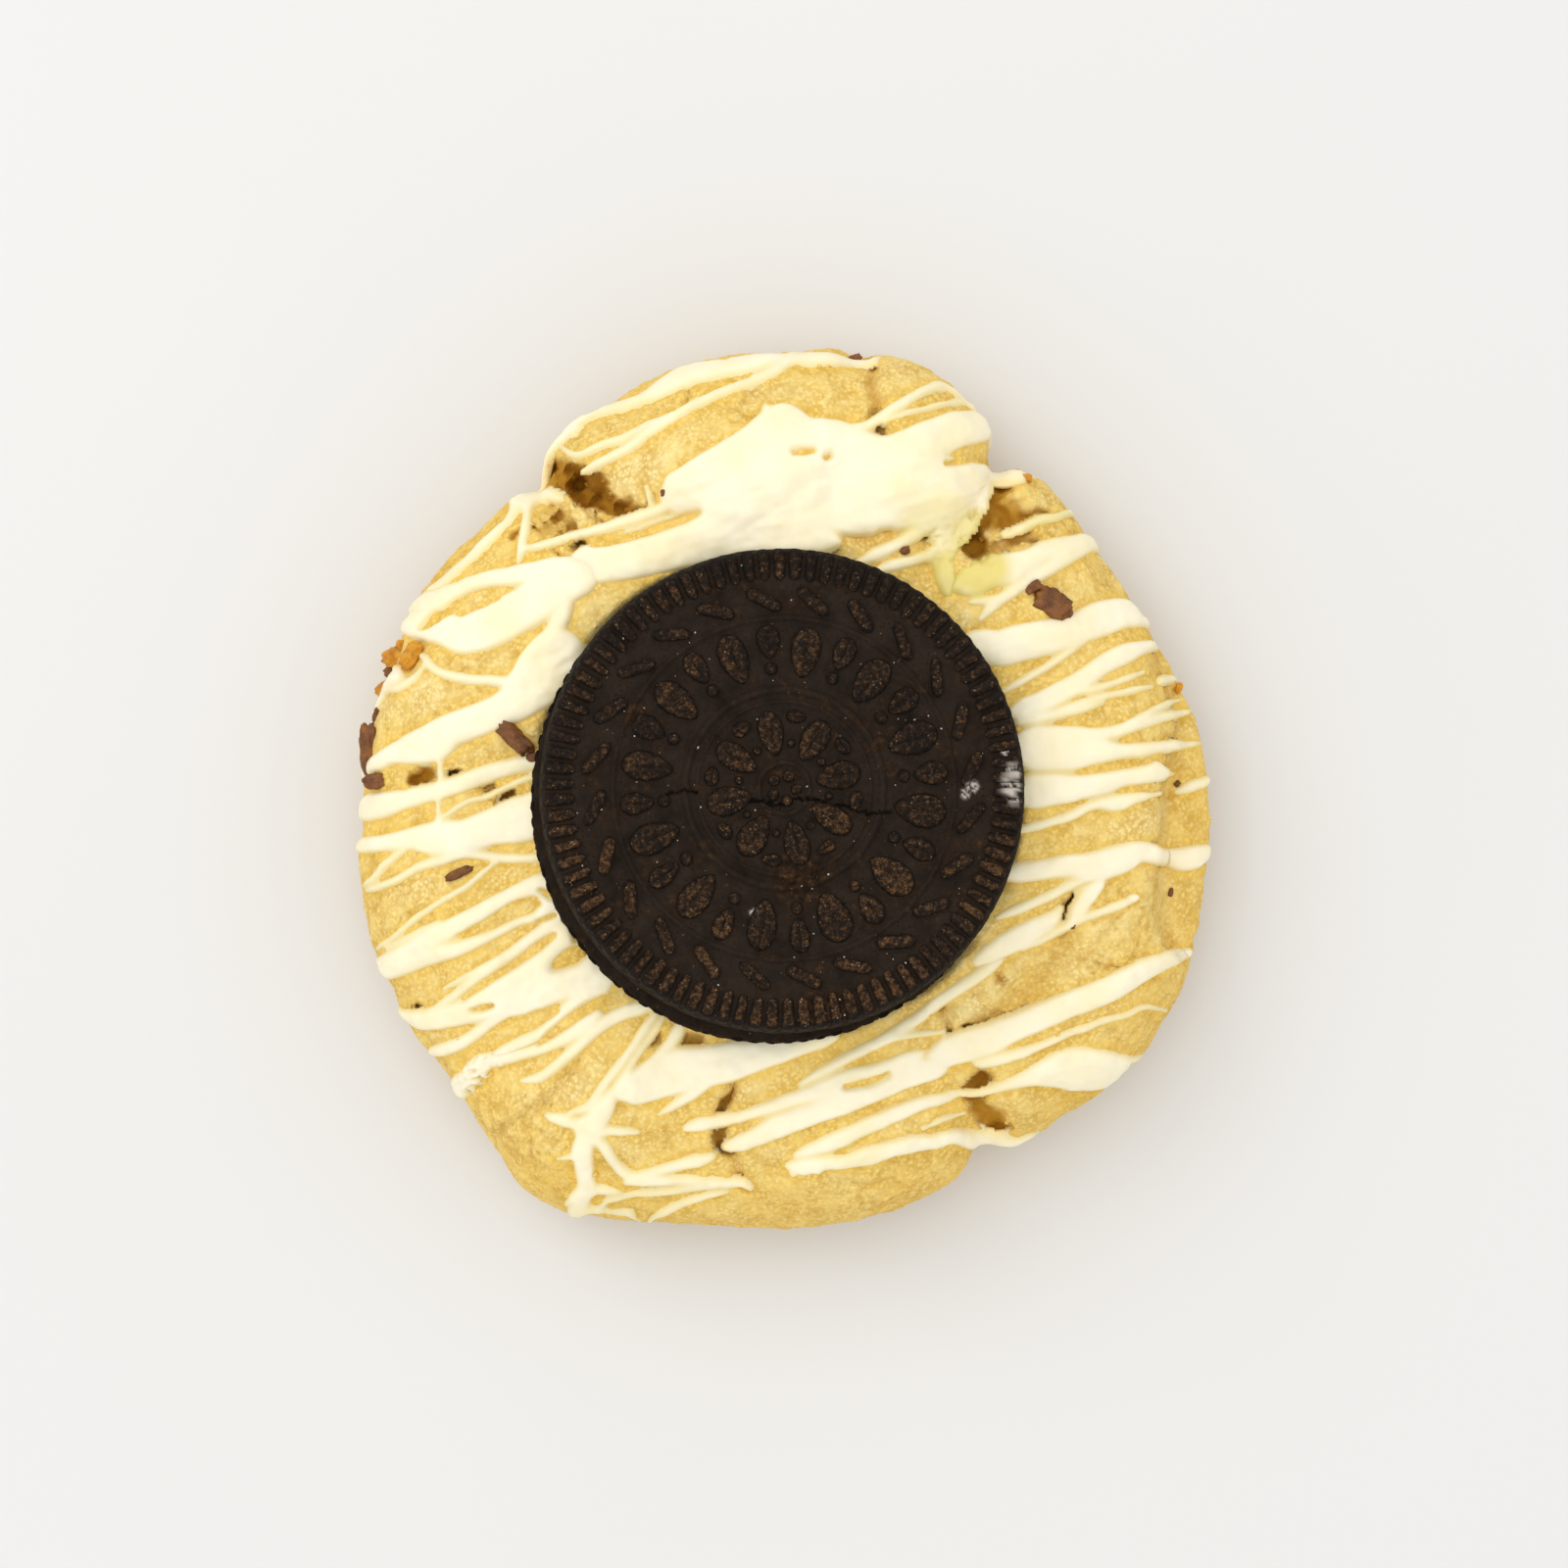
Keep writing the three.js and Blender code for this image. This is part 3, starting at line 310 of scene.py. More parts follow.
# Places where the dough shows through a pool of drizzle, written as strands are.
DRIZZLE_GAPS = [
    ((0.5, 0.9, 1.2, 1.4, 1.2), [(-30.6, -14.3), (-28, -13.2), (-26, -12.1), (-24.4, -11.4), (-23, -11.2)]),
    (0.9, [(-22.8, -10), (-21.6, -10.6)]), (0.6, [(-23.1, -12.9), (-21.6, -12.3)]),
    ((0.4, 0.6, 0.8, 0.9), [(-30.2, -20.2), (-27, -18), (-24.5, -16.3), (-21.6, -14.2)]),
    (1.6, [(-21.5, -17.1), (-20, -16.2), (-18.4, -15.3)]), (0.8, [(-29.2, -21.2), (-27.5, -20.8)]),
    ((0.8, 1.3, 1.4, 1), [(-26.6, -23.6), (-25, -22.8), (-23.2, -22), (-21.3, -21.3)]),
    ((0.7, 0.9, 1, 0.9), [(-23, -24.4), (-21, -22.9), (-18.6, -21.2), (-15.4, -19.6)]),
    (0.9, [(-28.6, -0.8), (-27.4, -0.3)]), (0.7, [(-27.3, -6.1), (-25.8, -5.8)]),
    (0.9, [(-25.5, -6.3), (-23, -6)]), (0.9, [(-32, -2.2), (-30.8, -1.5)]),
    (0.9, [(-18, 22.5), (-15, 23.2), (-12, 24.2), (-8, 25.5)]), (0.7, [(1, 31.1), (2.7, 31.3)]),
    (0.5, [(3.9, 30.7), (4.2, 30.8)]), (0.6, [(15.2, 30.2), (16.8, 30.4), (18.6, 30.8)]),
    (1.2, [(5.5, 22.5), (7.4, 22.5), (9.4, 23.4), (10.6, 23.7)]),
    (0.8, [(10.2, 21.5), (12, 22), (13.6, 22.5)]), (0.8, [(-34, 14.6), (-32.4, 15.8), (-31, 16.3)]),
    (0.8, [(-30, 16.2), (-28.4, 17), (-26.8, 17.6)]), (0.8, [(28, 1.2), (30.5, 1.6), (34.8, 2.3)]),
    (0.6, [(5.8, -28.5), (8, -28), (9.8, -27.3)]),
]
DRIZZLE_GROUPS = {
    "drizzle_back": DRIZZLE_BACK, "drizzle_left": DRIZZLE_LEFT,
    "drizzle_front": DRIZZLE_FRONT, "drizzle_right": DRIZZLE_RIGHT,
}
# Painted shade: where the white chocolate is thin and lies in shade it is painted greener: x, y, radius,
# share.
THIN_AND_SHADED = [
    (18.3, 20.2, 3.6, 0.85), (15.3, 19.6, 3.4, 0.8), (17.2, 23.6, 3, 0.6), (14.5, 23.5, 5, 0.35),
    (24.5, 24.6, 3, 0.4),
]
# Where its edge is torn: x, y, radius, how far in mm.
TORN = [(17.3, 23.6, 5.0, 0.9), (-28.8, -27.4, 3.0, 0.9)]
# A strand that ends this near the outline runs on over the edge.
OVER_EDGE_SHARE = 0.93
OUTERMOST_SHARE = 0.985
# How much of a crack's depth the drizzle sags into it, at most how far, and how softly, in mm.
DRIZZLE_SAG = 0.35
DEEPEST_SAG = 0.6
DEEPEST_HANG = 0.8
SAG_SOFTNESS = 0.9
# Its skirt runs out this far past the edge, and its underside lies this deep in the dough.
SKIRT_WIDTH = 0.25
DRIZZLE_DIP = 0.45
# A strand narrows towards its ends to this share of its width, over this length.
END_WIDTH = 0.35
TAPER_LENGTH = 1.6

# ---- Bits: place, length, width, height, turn in degrees, share sunk into the dough ----
CHOCOLATE_BITS = [
    (25.2, 17, 4.2, 2.9, 2, -28, 0.5), (23.4, 18.5, 1.8, 1.1, 1.1, 35, 0.4),
    (-25.3, 4.3, 4.4, 1.9, 1.8, -44, 0.45), (-23.6, 2.5, 1.4, 1, 1, 10, 0.45),
    (-39.7, 3.3, 5.6, 2.2, 3, 97, 0.45), (-38.2, 0.3, 3.2, 1.7, 2, 8, 0.45),
    (-40.1, 6.8, 1.6, 0.9, 1.2, 80, 0.4), (-30.6, -8.4, 2.8, 0.9, 0.7, 25, 0.5),
    (-11.2, 27.4, 1, 0.8, 0.8, 0, 0.4), (28, -10.7, 1.2, 0.9, 0.7, 30, 0.62),
    (27.2, -13.2, 1, 0.7, 0.6, 70, 0.66), (36.4, -10.2, 1, 0.6, 0.6, 80, 0.62),
    (11.4, 22, 1, 0.8, 0.8, 15, 0.5), (-38, 11, 1.6, 1.1, 1.1, 35, 0.3), (34.7, 0.3, 0.8, 0.6, 0.5, 0, 0.66),
    (6.8, 41, 1.5, 0.8, 1, 20, 0.3), (37, 0, 0.8, 0.6, 0.5, 40, 0.66),
]
CARAMEL_BITS = [
    (-35.1, 12.1, 3.2, 1.7, 2.3, 60, 0.25), (-37.6, 12.3, 2.8, 1.9, 2.1, 20, 0.25),
    (-40.1, 9.7, 2.2, 1.3, 1.9, 35, 0.3), (-36.6, 13.2, 1.3, 0.9, 1.2, 90, 0.2),
    (22.8, 28.8, 1.3, 0.9, 0.9, 0, 0.35), (37.8, 9.2, 1.2, 0.7, 0.8, 70, 0.35),
]


# ======== Shape of the dough ========
def smooth_step(low, high, value):
    t = np.clip((value - low) / (high - low), 0, 1)
    return t * t * (3 - 2 * t)


def outline_radius(angle):
    """Radius of the widest outline at each angle, in radians."""
    count = len(OUTLINE_RADII)
    place = np.mod(angle / (2 * np.pi) * count, count)
    before = np.floor(place).astype(int)
    t = place - before
    r0, r1, r2, r3 = (OUTLINE_RADII[(before + k + count) % count] for k in (-1, 0, 1, 2))
    radius = 0.5 * (2 * r1 + (r2 - r0) * t + (2 * r0 - 5 * r1 + 4 * r2 - r3) * t**2
                    + (3 * r1 - r0 - 3 * r2 + r3) * t**3)
    for middle, depth, half_width in NOTCHES:
        off = np.mod(np.degrees(angle) - middle + 180, 360) - 180
        radius = radius - depth * np.exp(-((off / half_width) ** 2))
    return radius - OUTLINE_INSET


def distance_to_path(x, y, path):
    nearest = np.full(np.shape(x), np.inf)
    for (ax, ay), (bx, by) in zip(path, path[1:]):
        length_squared = (bx - ax) ** 2 + (by - ay) ** 2
        t = np.clip(((x - ax) * (bx - ax) + (y - ay) * (by - ay)) / length_squared, 0, 1)
        nearest = np.minimum(nearest, np.hypot(x - ax - t * (bx - ax), y - ay - t * (by - ay)))
    return nearest


def ledge_x(y):
    places = sorted(LEDGE_LINE, key=lambda place: place[1])
    ys, xs = [place[1] for place in places], [place[0] for place in places]
    past = np.maximum(0, y - ys[-1]) + np.maximum(0, ys[0] - y)
    return np.interp(y, ys, xs) + past


def swell(x, y, z):
    """Slow swells all over, as hand-scooped dough has."""
    broad = np.sin(0.31 * x + 0.9) * np.cos(0.27 * y - 0.22 * z)
    narrow = np.sin(0.52 * x - 0.38 * y) * np.cos(0.44 * y + 0.5 * z + 1.7)
    return SWELL_HEIGHT * (0.6 * broad + 0.4 * narrow)


def crack_depth(read_x, read_y):
    """How deep the cracks and hollows are at each place, with ragged edges."""
    wander = [np.sin(1.9 * read_y + 0.7 * read_x) + 0.6 * np.sin(4.1 * read_y - 2.7 * read_x),
              np.sin(2.1 * read_x - 0.8 * read_y) + 0.6 * np.sin(3.7 * read_x + 3.1 * read_y)]
    x, y = read_x + 0.16 * wander[0], read_y + 0.16 * wander[1]
    depth = np.zeros(np.shape(x))
    for hollow_x, hollow_y, radius, deep in HOLLOWS:
        off = np.minimum(1, np.hypot(x - hollow_x, y - hollow_y) / radius)
        depth += deep * (1 - off**4) ** 2
    for deep, half_width, path in CRACKS:
        depth += deep * np.exp(-((distance_to_path(x, y, path) / half_width) ** 2))
    return depth


def dough_top(x, y, share, cracks):
    """Height of the dough's top over each place, and its cracks' depth there."""
    flat = np.maximum(0, 1 - share**DOME_POWER) ** (1 / DOME_POWER)
    nominal = WIDEST_LEVEL + (DOUGH_HEIGHT - WIDEST_LEVEL) * flat
    to_read = (EYE_HEIGHT - READ_LEVEL) / (EYE_HEIGHT - nominal)
    read_x, read_y = x * to_read, y * to_read
    height = nominal.copy()
    for lump_x, lump_y, radius, rise in LUMPS:
        off = np.minimum(1, np.hypot(read_x - lump_x, read_y - lump_y) / radius)
        height += rise * (1 - off**2) ** 2
    outside = smooth_step(-0.2, LEDGE_SLOPE, read_x - ledge_x(read_y))
    height -= LEDGE_DROP * outside * (height - WIDEST_LEVEL)
    depth = crack_depth(read_x, read_y)
    height -= cracks * depth
    height += swell(x, y, height) * flat
    below = np.minimum(0, height - WIDEST_LEVEL)
    return height - LOW_EASING * below, depth


def place_on_side(angle, down):
    """Points on the side, from the widest level (down 0) to the base (down 1)."""
    radius = outline_radius(angle)
    z = WIDEST_LEVEL * (1 - down)
    bulge = swell(radius * np.cos(angle), radius * np.sin(angle), z) * np.sin(np.pi * down)
    reach = radius - UNDERCUT * down**2 - bulge
    return np.stack([DOUGH_CENTRE[0] + reach * np.cos(angle), DOUGH_CENTRE[1] + reach * np.sin(angle), z], -1)


def polar(x, y):
    """Angle and share of the outline's radius of each place."""
    dx, dy = x - DOUGH_CENTRE[0], y - DOUGH_CENTRE[1]
    angle = np.arctan2(dy, dx)
    return angle, np.hypot(dx, dy) / outline_radius(angle)


def on_dough(read_x, read_y, cracks):
    """Points on the dough under the read places; what lies past the outline runs down the side."""
    read_x, read_y = np.asarray(read_x, float), np.asarray(read_y, float)
    height = np.full(read_x.shape, READ_LEVEL)
    for _ in range(4):
        to_true = (EYE_HEIGHT - height) / (EYE_HEIGHT - READ_LEVEL)
        x, y = read_x * to_true, read_y * to_true
        angle, share = polar(x, y)
        height, _depth = dough_top(x, y, np.minimum(OUTERMOST_SHARE, share), cracks)
    rim = outline_radius(angle)
    past = np.maximum(0, share - OUTERMOST_SHARE) * rim
    lean_height = (DOUGH_HEIGHT - WIDEST_LEVEL) * (1 - OUTERMOST_SHARE**DOME_POWER) ** (1 / DOME_POWER)
    level = np.maximum(0, lean_height - past)
    edge_share = (1 - (level / (DOUGH_HEIGHT - WIDEST_LEVEL)) ** DOME_POWER) ** (1 / DOME_POWER)
    edge_share = np.where(share > OUTERMOST_SHARE, edge_share, share)
    x = DOUGH_CENTRE[0] + edge_share * rim * np.cos(angle)
    y = DOUGH_CENTRE[1] + edge_share * rim * np.sin(angle)
    top = np.stack([x, y, dough_top(x, y, edge_share, cracks)[0]], -1)
    down = np.clip((past - lean_height) / WIDEST_LEVEL, 0, 1)
    return np.where((past > lean_height)[..., None], place_on_side(angle, down), top)


def normals_of(grid, closed):
    """Outward unit normals of a grid of points; closed says that its columns run round."""
    if closed:
        across = np.roll(grid, -1, 1) - np.roll(grid, 1, 1)
    else:
        across = np.gradient(grid, axis=1)
    along = np.gradient(grid, axis=0)
    normal = np.cross(along, across)
    return normal / np.maximum(1e-9, np.linalg.norm(normal, axis=-1, keepdims=True))


def noise_at(points, scale, octaves=3, roughness=0.5, shift=0.0):
    """Soft noise from about -1 to 1 at each point, with features about 1/scale mm wide."""
    flat = points.reshape(-1, 3) * scale + shift
    values = [noise.fractal(p, roughness, 2.0, octaves, noise_basis="PERLIN_ORIGINAL") for p in flat.tolist()]
    return np.array(values).reshape(points.shape[:-1])


def cell_edges_at(points, scale, shift=0.0):
    """0 on the borders between the cells of a cell pattern, larger inside them."""
    flat = points.reshape(-1, 3) * scale + shift
    values = []
    for p in flat.tolist():
        distances = noise.voronoi(p, distance_metric="DISTANCE")[0]
        values.append(distances[1] - distances[0])
    return np.array(values).reshape(points.shape[:-1])


def softened(values, reach):
    """The grid of values blurred over about reach cells."""
    steps = np.arange(-math.ceil(2 * reach), math.ceil(2 * reach) + 1)
    weights = np.exp(-0.5 * (steps / reach) ** 2)
    weights /= weights.sum()
    for axis in (0, 1):
        wider = np.pad(values, [(len(steps) // 2,) * 2 if a == axis else (0, 0) for a in (0, 1)], "edge")
        size = values.shape[axis]
        values = sum(w * np.take(wider, np.arange(k, k + size), axis) for k, w in enumerate(weights))
    return values


def lumpiness(points):
    """Height of the dough's coarse unevenness, which the drizzle follows too."""
    return 0.34 * noise_at(points, 0.16, 2) + 0.14 * noise_at(points, 0.55, 2, shift=7.3)


# ======== The biscuit's place ========
def biscuit_matrix():
    axis = Vector((-math.sin(TILT_TOWARDS), math.cos(TILT_TOWARDS), 0))
    return (Matrix.Translation(BISCUIT_CENTRE) @ Matrix.Rotation(BISCUIT_TILT, 4, axis)
            @ Matrix.Rotation(TILT_TOWARDS, 4, "Z"))


def design_shift():
    """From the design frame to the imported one, found from where the lower wafer stands."""
    low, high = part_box("wafer_bottom")
    middle = (low + high) / (2 * MM)
    on_axis = (WAFER_THICKNESS + WAFER_BEVEL) / 2 * math.sin(BISCUIT_TILT)
    own = BISCUIT_CENTRE + on_axis * Vector((math.cos(TILT_TOWARDS), math.sin(TILT_TOWARDS), 0))
    return np.array([middle.x - own.x, middle.y - own.y, 0.0])


BISCUIT = biscuit_matrix()
SHIFT = design_shift()


def in_biscuit(points):
    """The points in the biscuit's own frame, standing on its lowest face."""
    back = np.array(BISCUIT.inverted())
    return points @ back[:3, :3].T + back[:3, 3]


def from_biscuit(points):
    to = np.array(BISCUIT)
    return points @ to[:3, :3].T + to[:3, 3]


# ======== Meshes ========
def grid_faces(rows, columns, closed):
    """Quads of a grid of points numbered row by row."""
    across = columns if closed else columns - 1
    r, c = np.meshgrid(np.arange(rows - 1), np.arange(across), indexing="ij")
    next_c = (c + 1) % columns
    quads = np.stack([r * columns + c, (r + 1) * columns + c, (r + 1) * columns + next_c,
                      r * columns + next_c], -1)
    return quads.reshape(-1, 4)


def closed_faces(rows, columns):
    """Faces of a grid that runs round, with its first and last rows each closed to a point.

    The two points are numbered after the grid's own.
    """
    faces = grid_faces(rows, columns, True).tolist()
    count, last = rows * columns, (rows - 1) * columns
    for c in range(columns):
        after = (c + 1) % columns
        faces.append([count, c, after])
        faces.append([count + 1, last + after, last + c])
    return faces


def padded(values, spare, fill=0.0):
    """The grid's values row by row, and fill for each point after them."""
    return np.concatenate([values.ravel(), np.full(spare, fill)])


def linked_object(name, mesh):
    obj = bpy.data.objects.new(name, mesh)
    bpy.context.scene.collection.objects.link(obj)
    return obj


def new_mesh(name, points, faces, attributes=None):
    """An object at the origin with the design points, in mm, as its mesh in metres."""
    mesh = bpy.data.meshes.new(name)
    mesh.from_pydata(((points + SHIFT) * MM).tolist(), [], [list(face) for face in faces])
    for key, values in (attributes or {}).items():
        layer = mesh.attributes.new(key, "FLOAT", "POINT")
        layer.data.foreach_set("value", np.asarray(values, np.float32).ravel())
    return linked_object(name, mesh)


def keep_in_box(obj):
    """Vertices that stand a little outside the solid's box are brought back to it."""
    low, high = CAD_BOX
    for vertex in obj.data.vertices:
        for axis in range(3):
            vertex.co[axis] = min(max(vertex.co[axis], low[axis]), high[axis])


def finish_piece(obj, material, slot, *nodes):
    obj.data.materials.clear()
    obj.data.materials.append(material)
    obj.data.shade_smooth()
    keep_in_box(obj)
    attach(obj, "root")
    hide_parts(*nodes)


def outward(obj):
    """Faces all point outwards."""
    work = bmesh.new()
    work.from_mesh(obj.data)
    bmesh.ops.recalc_face_normals(work, faces=work.faces)
    work.to_mesh(obj.data)
    work.free()


# ======== Materials ========
class Nodes:
    """Short ways to add nodes to self.tree."""

    def fill(self, node, inputs):
        """Gives the node's inputs, by name or number, a value or a link from a socket."""
        for key, value in inputs.items():
            if isinstance(value, bpy.types.NodeSocket):
                self.tree.links.new(value, node.inputs[key])
            else:
                node.inputs[key].default_value = value
        return node

    def add(self, kind, inputs=None, **settings):
        node = self.tree.nodes.new(kind)
        for key, value in settings.items():
            setattr(node, key, value)
        return self.fill(node, inputs or {})

    def math(self, operation, first, second):
        return self.add("ShaderNodeMath", {0: first, 1: second}, operation=operation).outputs[0]


class Shader(Nodes):
    """A material with a pattern on Object coordinates."""

    def __init__(self, name):
        self.material = bpy.data.materials.new(name)
        self.material.use_nodes = True
        self.tree = self.material.node_tree
        self.surface = self.tree.nodes["Principled BSDF"]
        self.place = self.add("ShaderNodeTexCoord").outputs["Object"]

    def warp(self, scale, reach_mm):
        """From here on textures read a place moved about by noise."""
        shifts = self.add("ShaderNodeTexNoise", {"Vector": self.place, "Scale": scale, "Detail": 1})
        reach = [reach_mm * MM] * 3
        moved = self.add("ShaderNodeVectorMath", {0: shifts.outputs["Color"], 1: reach, 2: self.place},
                         operation="MULTIPLY_ADD")
        self.place = moved.outputs[0]

    def noise(self, scale, detail=4.0, roughness=0.55):
        return self.add("ShaderNodeTexNoise", {
            "Vector": self.place, "Scale": scale, "Detail": detail, "Roughness": roughness,
        }).outputs["Fac"]

    def cells(self, scale):
        return self.add("ShaderNodeTexVoronoi", {"Vector": self.place, "Scale": scale}).outputs["Distance"]

    def attribute(self, name):
        return self.add("ShaderNodeAttribute", attribute_name=name).outputs["Fac"]

    def ramp(self, value, stops):
        node = self.add("ShaderNodeValToRGB", {"Fac": value})
        elements = node.color_ramp.elements
        while len(elements) < len(stops):
            elements.new(0.5)
        for element, (position, colour) in zip(elements, stops):
            element.position = position
            element.color = (*colour, 1)
        return node.outputs["Color"]

    def shade(self, value, low, high, to_low=0.0, to_high=1.0):
        return self.add("ShaderNodeMapRange", {
            "Value": value, "From Min": low, "From Max": high, "To Min": to_low, "To Max": to_high,
        }).outputs["Result"]

    def mix(self, share, first, colour):
        """The first socket's colour with a share of a plain colour or of another socket's."""
        second = colour if isinstance(colour, bpy.types.NodeSocket) else (*colour, 1)
        return self.add("ShaderNodeMix", {0: share, 6: first, 7: second}, data_type="RGBA").outputs[2]

    def bump(self, height, strength, distance_mm, before=None):
        inputs = {"Strength": strength, "Distance": distance_mm * MM, "Height": height}
        if before is not None:
            inputs["Normal"] = before
        return self.add("ShaderNodeBump", inputs).outputs["Normal"]

    def finish(self, colour, roughness, normal, **sockets):
        own = {key.replace("_", " "): value for key, value in sockets.items()}
        self.fill(self.surface, {"Base Color": colour, "Roughness": roughness, "Normal": normal, **own})
        return self.material


def dough_material(look):
    s = Shader("baked_dough")
    s.warp(1100, 0.55)
    # Browning with painted light and shade: paler on raised crumb, darker in dips and towards the lower
    # right.
    toast_and_shade = s.math("ADD", s.attribute("toast_and_shade"), s.shade(s.noise(150, 5, 0.65), 0.3, 0.7, -0.24, 0.24))
    crust = s.ramp(toast_and_shade, [
        (0.0, look.pale_colour), (0.35, look.top_colour), (0.7, look.edge_colour), (1.0, look.base_colour),
    ])
    granules = s.cells(2300)
    between = s.shade(s.noise(420, 3), 0.35, 0.62, 0.18, 0.72)
    between = s.math("MULTIPLY", s.shade(granules, 0.22, 0.62), between)
    crust = s.mix(s.math("MULTIPLY", s.attribute("soaked"), 0.6), crust, look.soaked_colour)
    crust = s.mix(between, crust, look.grain_colour)
    crust = s.mix(s.shade(s.noise(2400, 2), 0.5, 0.7, 0.0, 0.4), crust, look.pale_colour)
    # Painted shade: darker with the depth of cracks and hollows, and in fissures and pits.
    crack_shaded = s.mix(s.attribute("crack"), crust, look.crack_shade_colour)
    rough = s.bump(s.noise(1900, 5, 0.75), 0.65, 0.24)
    rough = s.bump(s.shade(granules, 0.1, 0.62, 1.0, 0.0), 0.25, 0.09, rough)
    return s.finish(crack_shaded, 0.8, rough, Specular_IOR_Level=0.2)


def drizzle_material(look):
    s = Shader("white_chocolate")
    colour = s.ramp(s.noise(160, 3), [(0.3, look.shade_colour), (0.62, look.colour)])
    colour = s.mix(s.attribute("thin"), colour, look.thin_colour)
    # Painted shade: thin chocolate in the shaded crevice is greener.
    colour = s.mix(s.attribute("shade_tint"), colour, look.shade_tint_colour)
    wavy = s.bump(s.noise(420, 3), 0.12, 0.4)
    return s.finish(colour, s.shade(s.noise(300), 0.3, 0.7, 0.36, 0.5), wavy,
                    Subsurface_Weight=0.3, Subsurface_Radius=(1.0, 0.85, 0.45), Subsurface_Scale=0.0016,
                    Specular_IOR_Level=0.4)


def wafer_material(look):
    s = Shader("dark_wafer")
    mottled = s.ramp(s.noise(300, 6, 0.75), [(0.28, look.deep_colour), (0.60, look.flat_colour)])
    pores = s.shade(s.cells(2400), 0.14, 0.34, 0.8, 0.0)
    pores = s.math("MULTIPLY", pores, s.shade(s.noise(600, 3), 0.44, 0.6))
    mottled = s.mix(pores, mottled, look.deep_colour)
    brown = s.ramp(s.noise(1300, 4, 0.7), [
        (0.35, look.deep_colour), (0.55, look.raised_colour), (0.8, look.worn_and_lit_colour),
    ])
    # Brown where scuffed, and on the walls as painted light.
    colour = s.mix(s.attribute("scuff_and_light"), mottled, brown)
    specks = s.shade(s.cells(1500), 0.05, 0.13, 1.0, 0.0)
    seldom = s.shade(s.noise(700, 2), 0.54, 0.64)
    colour = s.mix(s.math("MULTIPLY", s.math("MULTIPLY", specks, seldom), 0.5), colour, look.speck_colour)
    colour = s.mix(s.attribute("crack"), colour, look.deep_colour)
    colour = s.mix(s.attribute("pale"), colour, look.pale_colour)
    rough = s.bump(s.noise(2800, 4, 0.7), 0.45, 0.12)
    rough = s.bump(s.noise(700, 3), 0.25, 0.25, rough)
    return s.finish(colour, s.shade(s.noise(800, 3), 0.3, 0.7, 0.65, 0.85), rough, IOR=1.2,
                    Specular_IOR_Level=0.3)


def raised_material(look):
    s = Shader("dark_wafer_raised")
    # Painted light and shade: browner crests, darker feet.
    crest = s.math("MULTIPLY", s.attribute("crest"), 0.66)
    grain = s.math("ADD", s.shade(s.noise(2300, 4, 0.8), 0.34, 0.66, -0.55, 0.55), crest)
    colour = s.ramp(grain, [
        (0.2, look.deep_colour), (0.6, look.raised_colour), (1.0, look.worn_and_lit_colour),
    ])
    specks = s.shade(s.cells(2700), 0.1, 0.26, 1.0, 0.0)
    seldom = s.math("MULTIPLY", s.shade(s.noise(900, 2), 0.52, 0.62), s.attribute("crest"))
    colour = s.mix(s.math("MULTIPLY", s.math("MULTIPLY", specks, seldom), 0.9), colour, look.speck_colour)
    colour = s.mix(s.attribute("pale"), colour, look.pale_colour)
    rough = s.bump(s.noise(2600, 4, 0.75), 0.6, 0.22)
    rough = s.bump(s.cells(1900), 0.4, 0.18, rough)
    return s.finish(colour, s.shade(s.noise(1500, 3), 0.3, 0.7, 0.6, 0.8), rough, IOR=1.22,
                    Specular_IOR_Level=0.4)


def cream_material(look):
    s = Shader("sugar_cream")
    colour = s.ramp(s.noise(400, 4), [(0.3, look.cream_shade), (0.7, look.cream_colour)])
    rough = s.bump(s.noise(1500, 4, 0.65), 0.3, 0.2)
    return s.finish(colour, 0.6, rough, Subsurface_Weight=0.2, Subsurface_Radius=(1.0, 0.8, 0.5),
                    Subsurface_Scale=0.001)


def bit_material(name, dark, light, roughness, subsurface):
    s = Shader(name)
    colour = s.ramp(s.noise(750, 5, 0.7), [(0.3, dark), (0.68, light)])
    rough = s.bump(s.noise(1400, 4, 0.7), 0.5, 0.25)
    return s.finish(colour, s.shade(s.noise(900), 0.3, 0.7, roughness - 0.1, roughness + 0.12), rough,
                    Subsurface_Weight=subsurface, Subsurface_Radius=(1.0, 0.4, 0.1),
                    Subsurface_Scale=0.001, Specular_IOR_Level=0.3)


def floor_material(stage):
    s = Shader("pale_floor")
    colour = s.ramp(s.noise(9, 2), [(0.3, stage.floor_shade), (0.7, stage.floor_colour)])
    return s.finish(colour, 0.85, s.bump(s.noise(900, 2), 0.02, 0.1), Specular_IOR_Level=0.1)


# ======== Node trees ========
# Cells per metre of the noise that makes each copy uneven.
UNEVENNESS_SCALE = 1300


